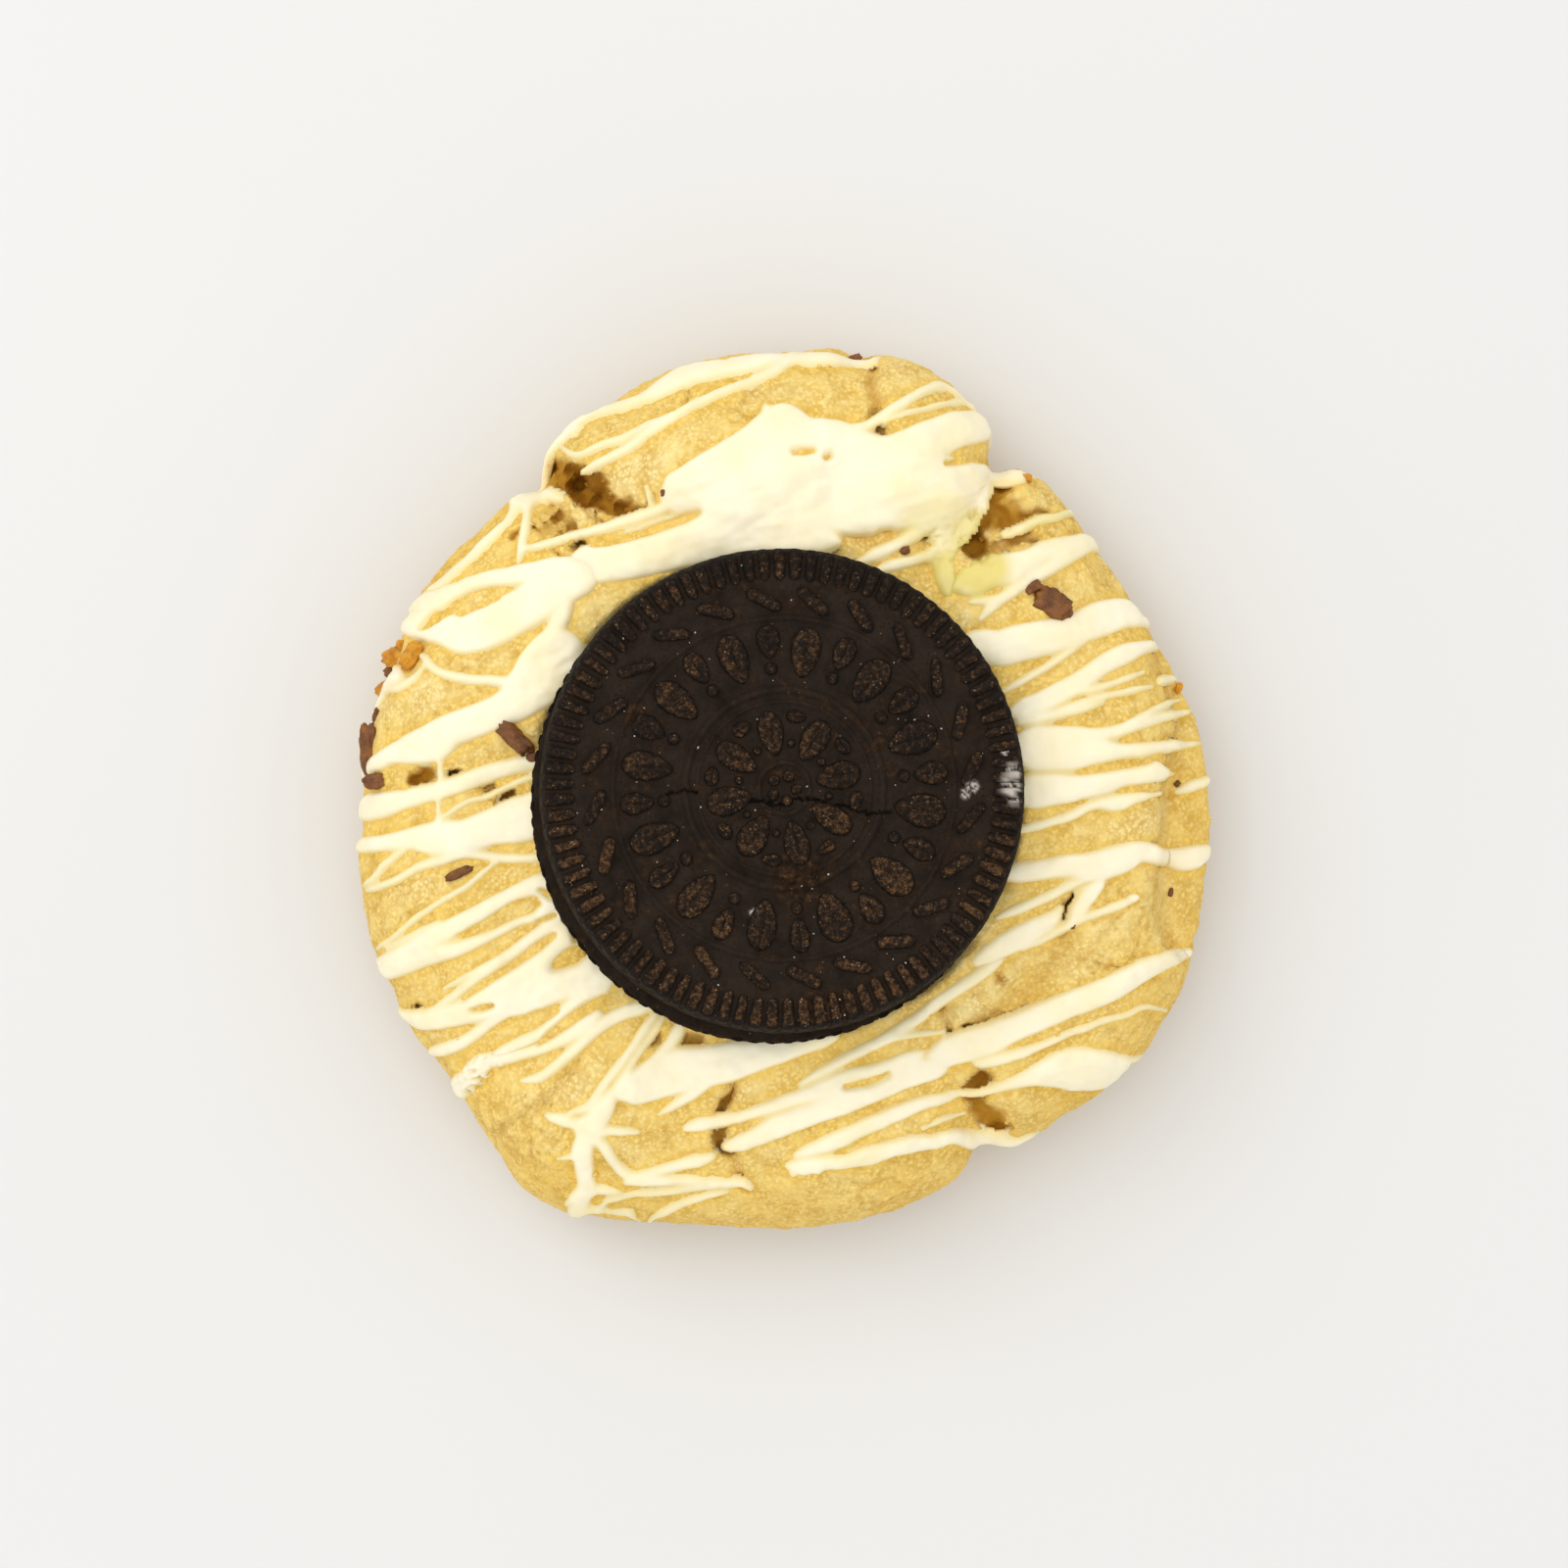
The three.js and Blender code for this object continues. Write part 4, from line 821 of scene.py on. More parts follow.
class Tree(Nodes):
    """A geometry node tree with named inputs, which makes copies of the input Shape."""

    def __init__(self, name, inputs):
        self.tree = bpy.data.node_groups.new(name, "GeometryNodeTree")
        socket = self.tree.interface.new_socket
        for way in ("INPUT", "OUTPUT"):
            socket("Geometry", in_out=way, socket_type="NodeSocketGeometry")
        self.keys = {label: socket(label, in_out="INPUT", socket_type="NodeSocket" + kind).identifier
                     for label, kind in inputs.items()}
        self.given = self.add("NodeGroupInput").outputs
        self.result = self.add("NodeGroupOutput")

    def random(self, low, high, seed_step):
        """One random number for each copy, between two values or sockets."""
        inputs = {2: low, 3: high, "Seed": self.math("ADD", self.given["Seed"], seed_step)}
        return self.add("FunctionNodeRandomValue", inputs, data_type="FLOAT").outputs[1]

    def vector(self, x, y, z):
        return self.add("ShaderNodeCombineXYZ", {0: x, 1: y, 2: z}).outputs[0]

    def scaled(self, vector, size):
        return self.add("ShaderNodeVectorMath", {0: vector, "Scale": size}, operation="SCALE").outputs[0]

    def place_copies(self, points, rotation, size):
        """Real copies of Shape at the points, moved by noise as high as Unevenness, with the material."""
        shape = self.add("GeometryNodeObjectInfo", {"Object": self.given["Shape"]}).outputs["Geometry"]
        copies = self.add("GeometryNodeInstanceOnPoints", {
            "Points": points, "Instance": shape, "Rotation": rotation, "Scale": size,
        })
        real = self.add("GeometryNodeRealizeInstances", {0: copies.outputs[0]})
        texture = self.add("ShaderNodeTexNoise", {"Scale": UNEVENNESS_SCALE}).outputs["Color"]
        centred = self.add("ShaderNodeVectorMath", {0: texture, 1: (0.5, 0.5, 0.5)}, operation="SUBTRACT")
        offset = self.scaled(centred.outputs[0], self.given["Unevenness"])
        moved = self.add("GeometryNodeSetPosition", {"Geometry": real.outputs[0], "Offset": offset})
        painted = self.add("GeometryNodeSetMaterial", {
            "Geometry": moved.outputs[0], "Material": self.given["Material"],
        })
        self.fill(self.result, {0: painted.outputs[0]})


def ring_tree():
    """Copies of one shape round a ring, each turned to its place on it."""
    t = Tree("ring_of_copies", {
        "Shape": "Object", "Count": "Int", "Radius": "Float", "Slant": "Float", "First angle": "Float",
        "Variation": "Float", "Unevenness": "Float", "Seed": "Int", "Material": "Material",
    })
    circle = t.add("GeometryNodeMeshCircle", {"Vertices": t.given["Count"], "Radius": t.given["Radius"]})
    turned = t.add("GeometryNodeTransform", {
        "Geometry": circle.outputs[0], "Rotation": t.vector(0.0, 0.0, t.given["First angle"]),
    })
    place = t.add("GeometryNodeInputPosition").outputs[0]
    split = t.add("ShaderNodeSeparateXYZ", {0: place}).outputs
    angle = t.math("ADD", t.math("ARCTAN2", split[1], split[0]), t.given["Slant"])
    smallest = t.math("SUBTRACT", 1.0, t.given["Variation"])
    largest = t.math("ADD", 1.0, t.given["Variation"])
    sizes = [t.random(smallest, largest, step) for step in (0, 1)]
    t.place_copies(turned.outputs[0], t.vector(0.0, 0.0, angle), t.vector(1.0, *sizes))
    return t


def scatter_tree():
    """Copies of one shape scattered on a surface, thickest where its attribute Zone is largest."""
    t = Tree("scatter_on_surface", {
        "Surface": "Object", "Shape": "Object", "Zone": "String", "Density": "Float", "Smallest": "Float",
        "Largest": "Float", "Unevenness": "Float", "Seed": "Int", "Material": "Material",
    })
    surface = t.add("GeometryNodeObjectInfo", {"Object": t.given["Surface"]}).outputs["Geometry"]
    zone = t.add("GeometryNodeInputNamedAttribute", {"Name": t.given["Zone"]}, data_type="FLOAT").outputs[0]
    spread = t.add("GeometryNodeDistributePointsOnFaces", {
        "Mesh": surface, "Density": t.math("MULTIPLY", zone, t.given["Density"]), "Seed": t.given["Seed"],
    })
    turns = [t.random(0.0, 2 * math.pi, step) for step in (1, 2, 3)]
    size = t.random(t.given["Smallest"], t.given["Largest"], 4)
    squashed = t.vector(1.0, t.random(0.55, 1.1, 5), 0.8)
    t.place_copies(spread.outputs["Points"], t.vector(*turns), t.scaled(squashed, size))
    return t


def grown(name, tree, values):
    """A plain mesh object of what the tree makes from the values."""
    holder = linked_object(name + "_holder", bpy.data.meshes.new(name + "_holder"))
    modifier = holder.modifiers.new(name, "NODES")
    modifier.node_group = tree.tree
    for label, value in values.items():
        modifier[tree.keys[label]] = value
    depsgraph = bpy.context.evaluated_depsgraph_get()
    mesh = bpy.data.meshes.new_from_object(holder.evaluated_get(depsgraph))
    mesh.name = name
    holder.modifiers.remove(modifier)
    bpy.data.objects.remove(holder)
    if not mesh.polygons:
        raise RuntimeError(f"{name} came out empty")
    return linked_object(name, mesh)


def join_pieces(name, objs):
    """One mesh object with all the faces of the given ones, which are removed."""
    work = bmesh.new()
    for obj in objs:
        work.from_mesh(obj.data)
        bpy.data.objects.remove(obj)
    mesh = bpy.data.meshes.new(name)
    work.to_mesh(mesh)
    work.free()
    return linked_object(name, mesh)


# ======== Settings ========
def colour_property(label, words, default):
    return FloatVectorProperty(name=label, description=words, subtype="COLOR", size=3, min=0, max=1,
                               default=default)


def length_property(label, words, default_mm):
    return FloatProperty(name=label, description=words, unit="LENGTH", default=default_mm * MM)


class DoughSettings(bpy.types.PropertyGroup):
    crumb_height: length_property("Crumb height", "Height of the crust's fine crumb", 0.085)
    fissure_depth: length_property("Fissure depth", "Depth of the crust's fine fissures", 0.22)
    # The highest lumps take this colour partly as painted light.
    pale_colour: colour_property("Pale colour", "Palest dough, on the highest lumps", (0.94, 0.79, 0.38))
    top_colour: colour_property("Top colour", "Dough on top", (0.885, 0.65, 0.20))
    edge_colour: colour_property("Edge colour", "Dough towards the edge", (0.86, 0.57, 0.125))
    base_colour: colour_property("Base colour", "Dough near the base", (0.66, 0.35, 0.055))
    grain_colour: colour_property("Grain colour", "Darker grains in the crust", (0.62, 0.365, 0.055))
    soaked_colour: colour_property("Soaked colour", "Dough beside the drizzle", (0.86, 0.55, 0.075))
    # Painted shade inside the cracks.
    crack_shade_colour: colour_property("Crack colour", "Inside of the cracks", (0.47, 0.22, 0.012))


class DrizzleSettings(bpy.types.PropertyGroup):
    thickness: length_property("Thickness", "Thickness of a wide pool", 0.64)
    edge_width: length_property("Edge width", "How fast the edge rises to the full thickness", 0.36)
    cell: length_property("Cell", "Spacing of the mesh's points", 0.21)
    blend: FloatProperty(name="Blend", description="How tightly strands run together, per mm", default=5.0)
    colour: colour_property("Colour", "White chocolate", (0.95, 0.85, 0.625))
    shade_colour: colour_property("Shade colour", "White chocolate where it is duller", (0.925, 0.795, 0.50))
    thin_colour: colour_property("Thin colour", "White chocolate where it is thin", (0.86, 0.68, 0.29))
    # Painted shade on thin white chocolate in the crevice.
    shade_tint_colour: colour_property("Tint colour", "White chocolate in the shaded crevice", (0.73, 0.60, 0.13))


class BiscuitSettings(bpy.types.PropertyGroup):
    ridge_count: IntProperty(name="Ridges", description="Ridges round the rim", default=90, min=3)
    leaf_count: IntProperty(name="Leaves", description="Leaves round the panel", default=12, min=3)
    variation: FloatProperty(name="Variation", description="How unlike ridges and leaves are", default=0.1,
                             min=0, max=0.5)
    relief_height: length_property("Relief height", "Height of the raised design", 0.6)
    deep_colour: colour_property("Deep colour", "Darkest wafer", (0.008, 0.0052, 0.0035))
    flat_colour: colour_property("Flat colour", "Wafer on its flat parts", (0.0235, 0.0155, 0.010))
    raised_colour: colour_property("Raised colour", "Wafer on its raised parts", (0.028, 0.014, 0.0065))
    # Also painted light on the walls and on the raised crests.
    worn_and_lit_colour: colour_property("Worn colour", "Wafer where it is worn", (0.110, 0.054, 0.020))
    speck_colour: colour_property("Speck colour", "Pale specks in the wafer", (0.36, 0.25, 0.13))
    pale_colour: colour_property("Scuff colour", "Pale chips on the rim", (0.52, 0.46, 0.40))
    cream_colour: colour_property("Cream colour", "Cream filling", (0.90, 0.86, 0.76))
    cream_shade: colour_property("Cream shade", "Cream filling where it is duller", (0.82, 0.77, 0.64))


class BitSettings(bpy.types.PropertyGroup):
    chocolate_dark: colour_property("Chocolate dark", "Darker chocolate", (0.085, 0.029, 0.008))
    chocolate_light: colour_property("Chocolate light", "Lighter chocolate", (0.26, 0.098, 0.022))
    caramel_dark: colour_property("Caramel dark", "Darker caramel", (0.38, 0.13, 0.004))
    caramel_light: colour_property("Caramel light", "Lighter caramel", (0.74, 0.35, 0.018))
    crumb_density: FloatProperty(name="Crumb density", description="Loose crumbs per square metre",
                                 default=42000)


class StageSettings(bpy.types.PropertyGroup):
    floor_colour: colour_property("Floor colour", "Pale floor", (0.725, 0.72, 0.705))
    floor_shade: colour_property("Floor shade", "Pale floor where it is duller", (0.715, 0.71, 0.695))
    sky: FloatProperty(name="Sky", description="Strength of the light from all round", default=0.98)
    key_power: FloatProperty(name="Key power", description="Power of the soft light at the upper left",
                             unit="POWER", default=1.1)
    top_power: FloatProperty(name="Top power", description="Power of the broad light above",
                             unit="POWER", default=1.7)
    lens: FloatProperty(name="Lens", description="Focal length of the camera, in mm", default=117.3)


class CookieSettings(bpy.types.PropertyGroup):
    dough: PointerProperty(type=DoughSettings, name="Dough", description="Baked dough")
    drizzle: PointerProperty(type=DrizzleSettings, name="Drizzle", description="White chocolate")
    biscuit: PointerProperty(type=BiscuitSettings, name="Biscuit", description="Sandwich biscuit")
    bits: PointerProperty(type=BitSettings, name="Bits", description="Chocolate, caramel and crumbs")
    stage: PointerProperty(type=StageSettings, name="Stage", description="Floor, lights and camera")


# ======== Dough ========
def dough_rows():
    """The top's rows as shares of the outline, from the middle out."""
    first = math.sin(FIRST_LEAN) ** (2 / DOME_POWER)
    hidden = np.linspace(0.12, first, HIDDEN_ROWS, endpoint=False)
    lean = np.linspace(FIRST_LEAN, math.pi / 2, DOME_ROWS)
    return np.concatenate([hidden, np.sin(lean) ** (2 / DOME_POWER)])


def press_seat(points):
    """Presses the dough down under the biscuit, with a slope up round its wall."""
    local = in_biscuit(points)
    reach = np.hypot(local[..., 0] - TOP_WAFER_SHIFT / 2, local[..., 1])
    above = np.maximum(0, local[..., 2] + 0.05)
    inside = 1 - smooth_step(BISCUIT_RADIUS - 0.3, BISCUIT_RADIUS + 0.75, reach)
    points = points.copy()
    points[..., 2] -= above * inside / math.cos(BISCUIT_TILT)
    return points


def dough_points():
    """The dough's rows of points from the top's middle to the base's, and what colours them."""
    angle = np.linspace(0, 2 * np.pi, DOUGH_COLUMNS, endpoint=False)
    share, turn = np.meshgrid(dough_rows(), angle, indexing="ij")
    rim = outline_radius(turn)
    x = DOUGH_CENTRE[0] + share * rim * np.cos(turn)
    y = DOUGH_CENTRE[1] + share * rim * np.sin(turn)
    height, depth = dough_top(x, y, share, 1.0)
    top = np.stack([x, y, height], -1)
    downs = np.linspace(0, 1, SIDE_ROWS + 1)[1:]
    down, turn = np.meshgrid(downs, angle, indexing="ij")
    side = place_on_side(turn, down)
    depth = np.concatenate([depth, depth[-1] * np.clip(1 - 2 * down, 0, 1)])
    edge = np.concatenate([share, np.ones(down.shape)])
    low = np.concatenate([np.zeros(share.shape), down])
    return np.concatenate([top, side]), depth, edge, low


def beside_drizzle(points, look):
    """1 at the drizzle's edge, down to 0 a little way off, at each point of the dough."""
    to_read = (EYE_HEIGHT - READ_LEVEL) / (EYE_HEIGHT - points[..., 2])
    x, y = points[..., 0] * to_read, points[..., 1] * to_read
    nearest = np.full(x.shape, -9.0)
    chance = np.random.default_rng(7)
    for strands in DRIZZLE_GROUPS.values():
        grid_x, grid_y, _height, inside = drizzle_field(strands, look, chance)
        cell = look.cell / MM
        column = np.rint((x - grid_x[0, 0]) / cell).astype(int)
        row = np.rint((y - grid_y[0, 0]) / cell).astype(int)
        rows, columns = inside.shape
        within = (column >= 0) & (column < columns) & (row >= 0) & (row < rows)
        found = inside[np.clip(row, 0, rows - 1), np.clip(column, 0, columns - 1)]
        nearest = np.maximum(nearest, np.where(within, found, -9.0))
    return np.exp(-((np.maximum(0, -nearest) / SOAK_REACH) ** 2))


def build_dough(look, drizzle):
    points, depth, edge, low = dough_points()
    normal = normals_of(points, True)
    fade = 1 - smooth_step(0.8, 1.0, low)
    crumb = noise_at(points, 0.85, 3, 0.6, shift=3.1)
    bent = points + 0.5 * noise_at(points, 0.8, 2, shift=17.0)[..., None]
    grains = smooth_step(0.0, 0.42, cell_edges_at(bent, 1.15, shift=9.0))
    uneven = smooth_step(-0.4, 0.5, noise_at(points, 0.22, 2, shift=21.0))
    fissured = np.zeros(depth.shape)
    for x, y, radius in FISSURED:
        away = np.hypot(points[..., 0] - x, points[..., 1] - y) / radius
        fissured = np.maximum(fissured, 1 - smooth_step(0.4, 1.0, away + 0.3 * crumb))
    fissure = fissured * np.exp(-((cell_edges_at(bent, 0.33, shift=2.0) / 0.05) ** 2))
    pits = (1 - grains) * smooth_step(0.0, 0.6, noise_at(points, 0.5, 2, shift=31.0))
    relief = lumpiness(points) + look.crumb_height / MM * (crumb + (0.2 + 0.5 * uneven) * (grains - 1))
    relief -= look.fissure_depth / MM * fissure + 0.10 * pits
    points = points + normal * (relief * fade)[..., None]
    points[..., 2] = np.maximum(points[..., 2], 0)
    points = press_seat(points)
    rows, columns = points.shape[:2]
    middle = np.array([*DOUGH_CENTRE, 0])
    base_rows = [middle + (points[-1] * [1, 1, 0] - middle) * share for share in (0.9, 0.6, 0.3)]
    flat = np.concatenate([points.reshape(-1, 3), np.concatenate(base_rows)])
    faces = closed_faces(rows + len(base_rows), columns)
    ends = np.array([[*DOUGH_CENTRE, points[0, :, 2].mean()], [*DOUGH_CENTRE, 0]])
    # Brownness: towards the edge and low on the side; more at the lower right, partly browning and partly
    # painted shade on the side away from the light.
    lower_right = np.clip((points[..., 0] - points[..., 1]) / 75, 0, 1)
    toast_and_shade = 0.20 + 0.26 * smooth_step(0.78, 1.0, edge) * (0.5 + 0.7 * lower_right)
    toast_and_shade += 0.12 * low + 0.30 * smooth_step(0.72, 1.0, low) + 0.08 * lower_right
    # Paler where the relief rises and browner where it sinks, as painted light and shade; browner between the
    # grains too.
    toast_and_shade -= 0.20 * np.clip(relief, -0.6, 0.8)
    toast_and_shade += 0.08 * (1 - grains)
    # Painted shade: the colour darkens with the depth of cracks and hollows, and in fissures and pits.
    crack = np.clip(0.95 * smooth_step(0.5, 2.3, depth) + 0.3 * fissure + 0.25 * pits, 0, 1)
    spare = len(base_rows) * columns + 2
    # Loose crumbs lie on top, round the biscuit, and thickest in the cracks.
    zone = smooth_step(0.5, 0.6, edge) * (1 - smooth_step(0.0, 0.5, low))
    zone *= 0.25 + smooth_step(0.2, 0.9, depth)
    attributes = {
        "toast_and_shade": padded(toast_and_shade, spare, BASE_TOAST), "crack": padded(crack, spare),
        "crumbs": padded(zone, spare), "soaked": padded(beside_drizzle(points, drizzle), spare),
    }
    return new_mesh("dough", np.concatenate([flat, ends]), faces, attributes)


class COOKIE_OT_dough(bpy.types.Operator):
    """Make the baked dough, with its cracks, fissures and crumb"""

    bl_idname = "cookie.dough"
    bl_label = "Dough"

    def execute(self, context):
        look = context.scene.cookie.dough
        dough = build_dough(look, context.scene.cookie.drizzle)
        outward(dough)
        finish_piece(dough, dough_material(look), "baked_dough", "cookie_dough")
        return {"FINISHED"}


# ======== Drizzle ========
def smooth_path(places, widths, step):
    """Places and widths every step along a smooth curve through the given ones."""
    along = np.linspace(0, 1, len(places))
    sizes = [widths] if isinstance(widths, (int, float)) else widths
    width = np.interp(along, np.linspace(0, 1, len(sizes)), sizes) if len(sizes) > 1 else sizes[0] + 0 * along
    p = np.column_stack([places, width])
    ends = np.vstack([2 * p[0] - p[1], p, 2 * p[-1] - p[-2]])
    pieces = []
    for a, b, c, d in zip(ends, ends[1:], ends[2:], ends[3:]):
        count = max(1, math.ceil(math.dist(b[:2], c[:2]) / step))
        t = np.linspace(0, 1, count, endpoint=False)[:, None]
        pieces.append(0.5 * (2 * b + (c - a) * t + (2 * a - 5 * b + 4 * c - d) * t**2
                             + (3 * b - a - 3 * c + d) * t**3))
    curve = np.vstack([*pieces, p[-1:]])
    run = np.concatenate([[0], np.cumsum(np.hypot(*np.diff(curve[:, :2], axis=0).T))])
    to_end = np.minimum(run, run[-1] - run)
    curve[:, 2] *= END_WIDTH + (1 - END_WIDTH) * np.minimum(1, to_end / TAPER_LENGTH) ** 0.6
    return curve


def run_over_edge(places, widths, spare):
    """The strand with its ends that reach the outline drawn on over the edge."""
    places = [tuple(place) for place in places]
    sizes = [widths] * 2 if isinstance(widths, (int, float)) else list(widths)
    for at_end in (False, True):
        end, before = (places[-1], places[-2]) if at_end else (places[0], places[1])
        level = (EYE_HEIGHT - WIDEST_LEVEL - 5) / (EYE_HEIGHT - READ_LEVEL)
        _angle, share = polar(np.array(end[0] * level), np.array(end[1] * level))
        if share < OVER_EDGE_SHARE:
            continue
        length = math.dist(end, before)
        out = np.array(end) / math.hypot(*end)
        way = (np.array(end) - np.array(before)) / length * 0.4 + out * 0.6
        size = sizes[-1] if at_end else sizes[0]
        reach = spare * (0.5 + 0.8 * size)
        extra = tuple(np.array(end) + way * reach)
        if at_end:
            places.append(extra)
            sizes.append(0.75 * size)
        else:
            places.insert(0, extra)
            sizes.insert(0, 0.75 * size)
    return places, sizes


# The depth of places that a strand doesn't reach, and the least depth that counts as near it.
FAR_OUTSIDE = -4.0
NEAR_LIMIT = -3.9


def strand_depth(grid_x, grid_y, samples, cell):
    """How deep each grid place lies inside the strand: above 0 inside, below 0 outside."""
    depth = np.full(grid_x.shape, FAR_OUTSIDE)
    x0, y0 = grid_x[0, 0], grid_y[0, 0]
    rows, columns = grid_x.shape
    for x, y, width in samples:
        half = max(0.2, width / 2)
        reach = half + 1.6
        c0, c1 = max(0, int((x - reach - x0) / cell)), min(columns, int((x + reach - x0) / cell) + 2)
        r0, r1 = max(0, int((y - reach - y0) / cell)), min(rows, int((y + reach - y0) / cell) + 2)
        if c0 >= c1 or r0 >= r1:
            continue
        gap = (grid_x[r0:r1, c0:c1] - x) ** 2 + (grid_y[r0:r1, c0:c1] - y) ** 2
        inside = (half**2 - gap) / (2 * half)
        depth[r0:r1, c0:c1] = np.maximum(depth[r0:r1, c0:c1], inside)
    return depth


def drizzle_field(strands, look, chance):
    """A grid of read places and the drizzle's height over the dough at each, below 0 outside it."""
    cell, blend = look.cell / MM, look.blend
    paths = []
    for widths, places in strands:
        places, sizes = run_over_edge(places, widths, 1.0 + 1.6 * chance.random())
        paths.append(smooth_path(places, sizes, cell * 0.6))
    every = np.vstack(paths)
    margin = every[:, 2].max() / 2 + 1.5
    xs = np.arange(every[:, 0].min() - margin, every[:, 0].max() + margin, cell)
    ys = np.arange(every[:, 1].min() - margin, every[:, 1].max() + margin, cell)
    grid_x, grid_y = np.meshgrid(xs, ys)
    plane = np.stack([grid_x, grid_y, 0 * grid_x], -1)
    total = np.full(grid_x.shape, -40.0)
    ridges = np.zeros(grid_x.shape)
    for samples in paths:
        depth = strand_depth(grid_x, grid_y, samples, cell)
        near = depth > NEAR_LIMIT
        total[near] = np.logaddexp(total[near], blend * depth[near])
        ridges += np.maximum(0, depth) / (0.4 + np.maximum(0, depth))
    inside = total / blend
    for widths, places in DRIZZLE_GAPS:
        gap = strand_depth(grid_x, grid_y, smooth_path(places, widths, cell * 0.6), cell)
        inside = np.minimum(inside, -gap)
    for x, y, radius, reach in TORN:
        near = 1 - smooth_step(0.5, 1.0, np.hypot(grid_x - x, grid_y - y) / radius)
        inside = inside - near * reach * np.abs(noise_at(plane, 0.7, 3, 0.6, shift=5.0))
    thickness, edge = look.thickness / MM, look.edge_width / MM
    full = thickness * (1 - np.exp(-np.maximum(0, inside) / edge))
    turned = np.stack([grid_x * 0.94 + grid_y * 0.34, (grid_y * 0.94 - grid_x * 0.34) * 4.2, 0 * grid_x], -1)
    streaks = noise_at(turned, 0.16, 2, shift=4.0)
    wide = smooth_step(0.3, 1.2, inside)
    full += wide * (0.16 * streaks + 0.09 * np.minimum(3, ridges))
    height = np.where(inside > 0, full, inside * thickness / edge)
    return grid_x, grid_y, np.maximum(height, -DRIZZLE_DIP), inside


def build_drizzle(name, strands, look, chance):
    grid_x, grid_y, height, inside = drizzle_field(strands, look, chance)
    points = on_dough(grid_x, grid_y, 0.0)
    normal = normals_of(points, False)
    normal *= np.sign(normal[..., 2].mean())
    depth = crack_depth(grid_x, grid_y)
    sag = softened(np.minimum(DRIZZLE_SAG * depth, DEEPEST_SAG), SAG_SOFTNESS * MM / look.cell)
    # Over a crack the strand's own edge hangs down to the dough.
    hanging = np.maximum(0, np.minimum(depth, DEEPEST_HANG) - sag)
    sag += (1 - smooth_step(-0.4, 0.1, inside)) * hanging
    base = points + normal * lumpiness(points)[..., None]
    base[..., 2] -= sag
    # And its skirt ends sooner there, so that it doesn't show in the crack.
    over_crack = smooth_step(0.5, 1.3, depth)
    height = np.maximum(height, -DRIZZLE_DIP * (1 - over_crack))
    top = base + normal * height[..., None]
    under = base - normal * (DRIZZLE_DIP + 0.03)
    local = in_biscuit(base)
    clear = np.hypot(local[..., 0] - TOP_WAFER_SHIFT / 2, local[..., 1]) > BISCUIT_RADIUS - 0.5
    wet = (height > -DRIZZLE_DIP + 1e-6) & (inside > -SKIRT_WIDTH + 0.2 * over_crack) & clear
    rows, columns = wet.shape
    corner = wet[:-1, :-1] | wet[1:, :-1] | wet[:-1, 1:] | wet[1:, 1:]
    whole = clear[:-1, :-1] & clear[1:, :-1] & clear[:-1, 1:] & clear[1:, 1:]
    cells = corner & whole
    number = np.arange(rows * columns).reshape(rows, columns)
    quads = np.stack([number[:-1, :-1], number[:-1, 1:], number[1:, 1:], number[1:, :-1]], -1)[cells]
    around = np.zeros((rows + 1, columns + 1), int)
    around[1:-1, 1:-1] = cells
    touching = around[:-1, :-1] + around[1:, :-1] + around[:-1, 1:] + around[1:, 1:]
    rim = (touching > 0) & (touching < 4)
    below = number + rows * columns
    lower = np.where(rim, number, below).reshape(-1)
    faces = np.concatenate([quads, lower[quads][:, ::-1]])
    used, faces = np.unique(faces, return_inverse=True)
    faces = faces.reshape(-1, 4)
    every = np.concatenate([top.reshape(-1, 3), under.reshape(-1, 3)])[used]
    thin = 0.85 * (1 - smooth_step(0.1, 0.42, height))
    # Painted shade: greener where thin chocolate lies in the crevice's shade.
    shade_tint = np.zeros(height.shape)
    for x, y, radius, share in THIN_AND_SHADED:
        away = np.hypot(grid_x - x, grid_y - y) / radius
        shade_tint = np.maximum(shade_tint, share * (1 - smooth_step(0.5, 1.0, away)))
    colours = {key: np.tile(values.ravel(), 2)[used] for key, values in (("thin", thin), ("shade_tint", shade_tint))}
    return new_mesh(name, every, faces.tolist(), colours)


class COOKIE_OT_drizzle(bpy.types.Operator):
    """Make the white chocolate drizzle, one piece for each side of the cookie"""

    bl_idname = "cookie.drizzle"
    bl_label = "Drizzle"

    def execute(self, context):
        look = context.scene.cookie.drizzle
        material = drizzle_material(look)
        chance = np.random.default_rng(7)
        for name, strands in DRIZZLE_GROUPS.items():
            piece = build_drizzle(name, strands, look, chance)
            outward(piece)
            finish_piece(piece, material, "white_chocolate", "cookie_dough")
        return {"FINISHED"}


# ======== Wafers and cream ========
PANEL_RADIUS = BISCUIT_RADIUS - RIM_WIDTH
RIM_LEVEL = WAFER_THICKNESS - 0.5
WALL_TAPER = 0.42
CORNER_RADIUS = 0.6
FOOT_BEND = 0.22
RIB_HEIGHT = 0.5
# The raised shapes' feet lie this far inside the panel.
SHAPE_SINK = 0.08
RAISED_CIRCLES = [(15.75, 0.5, 0.26), (9.1, 0.7, 0.42), (8.0, 0.36, 0.24), (2.35, 0.5, 0.34)]
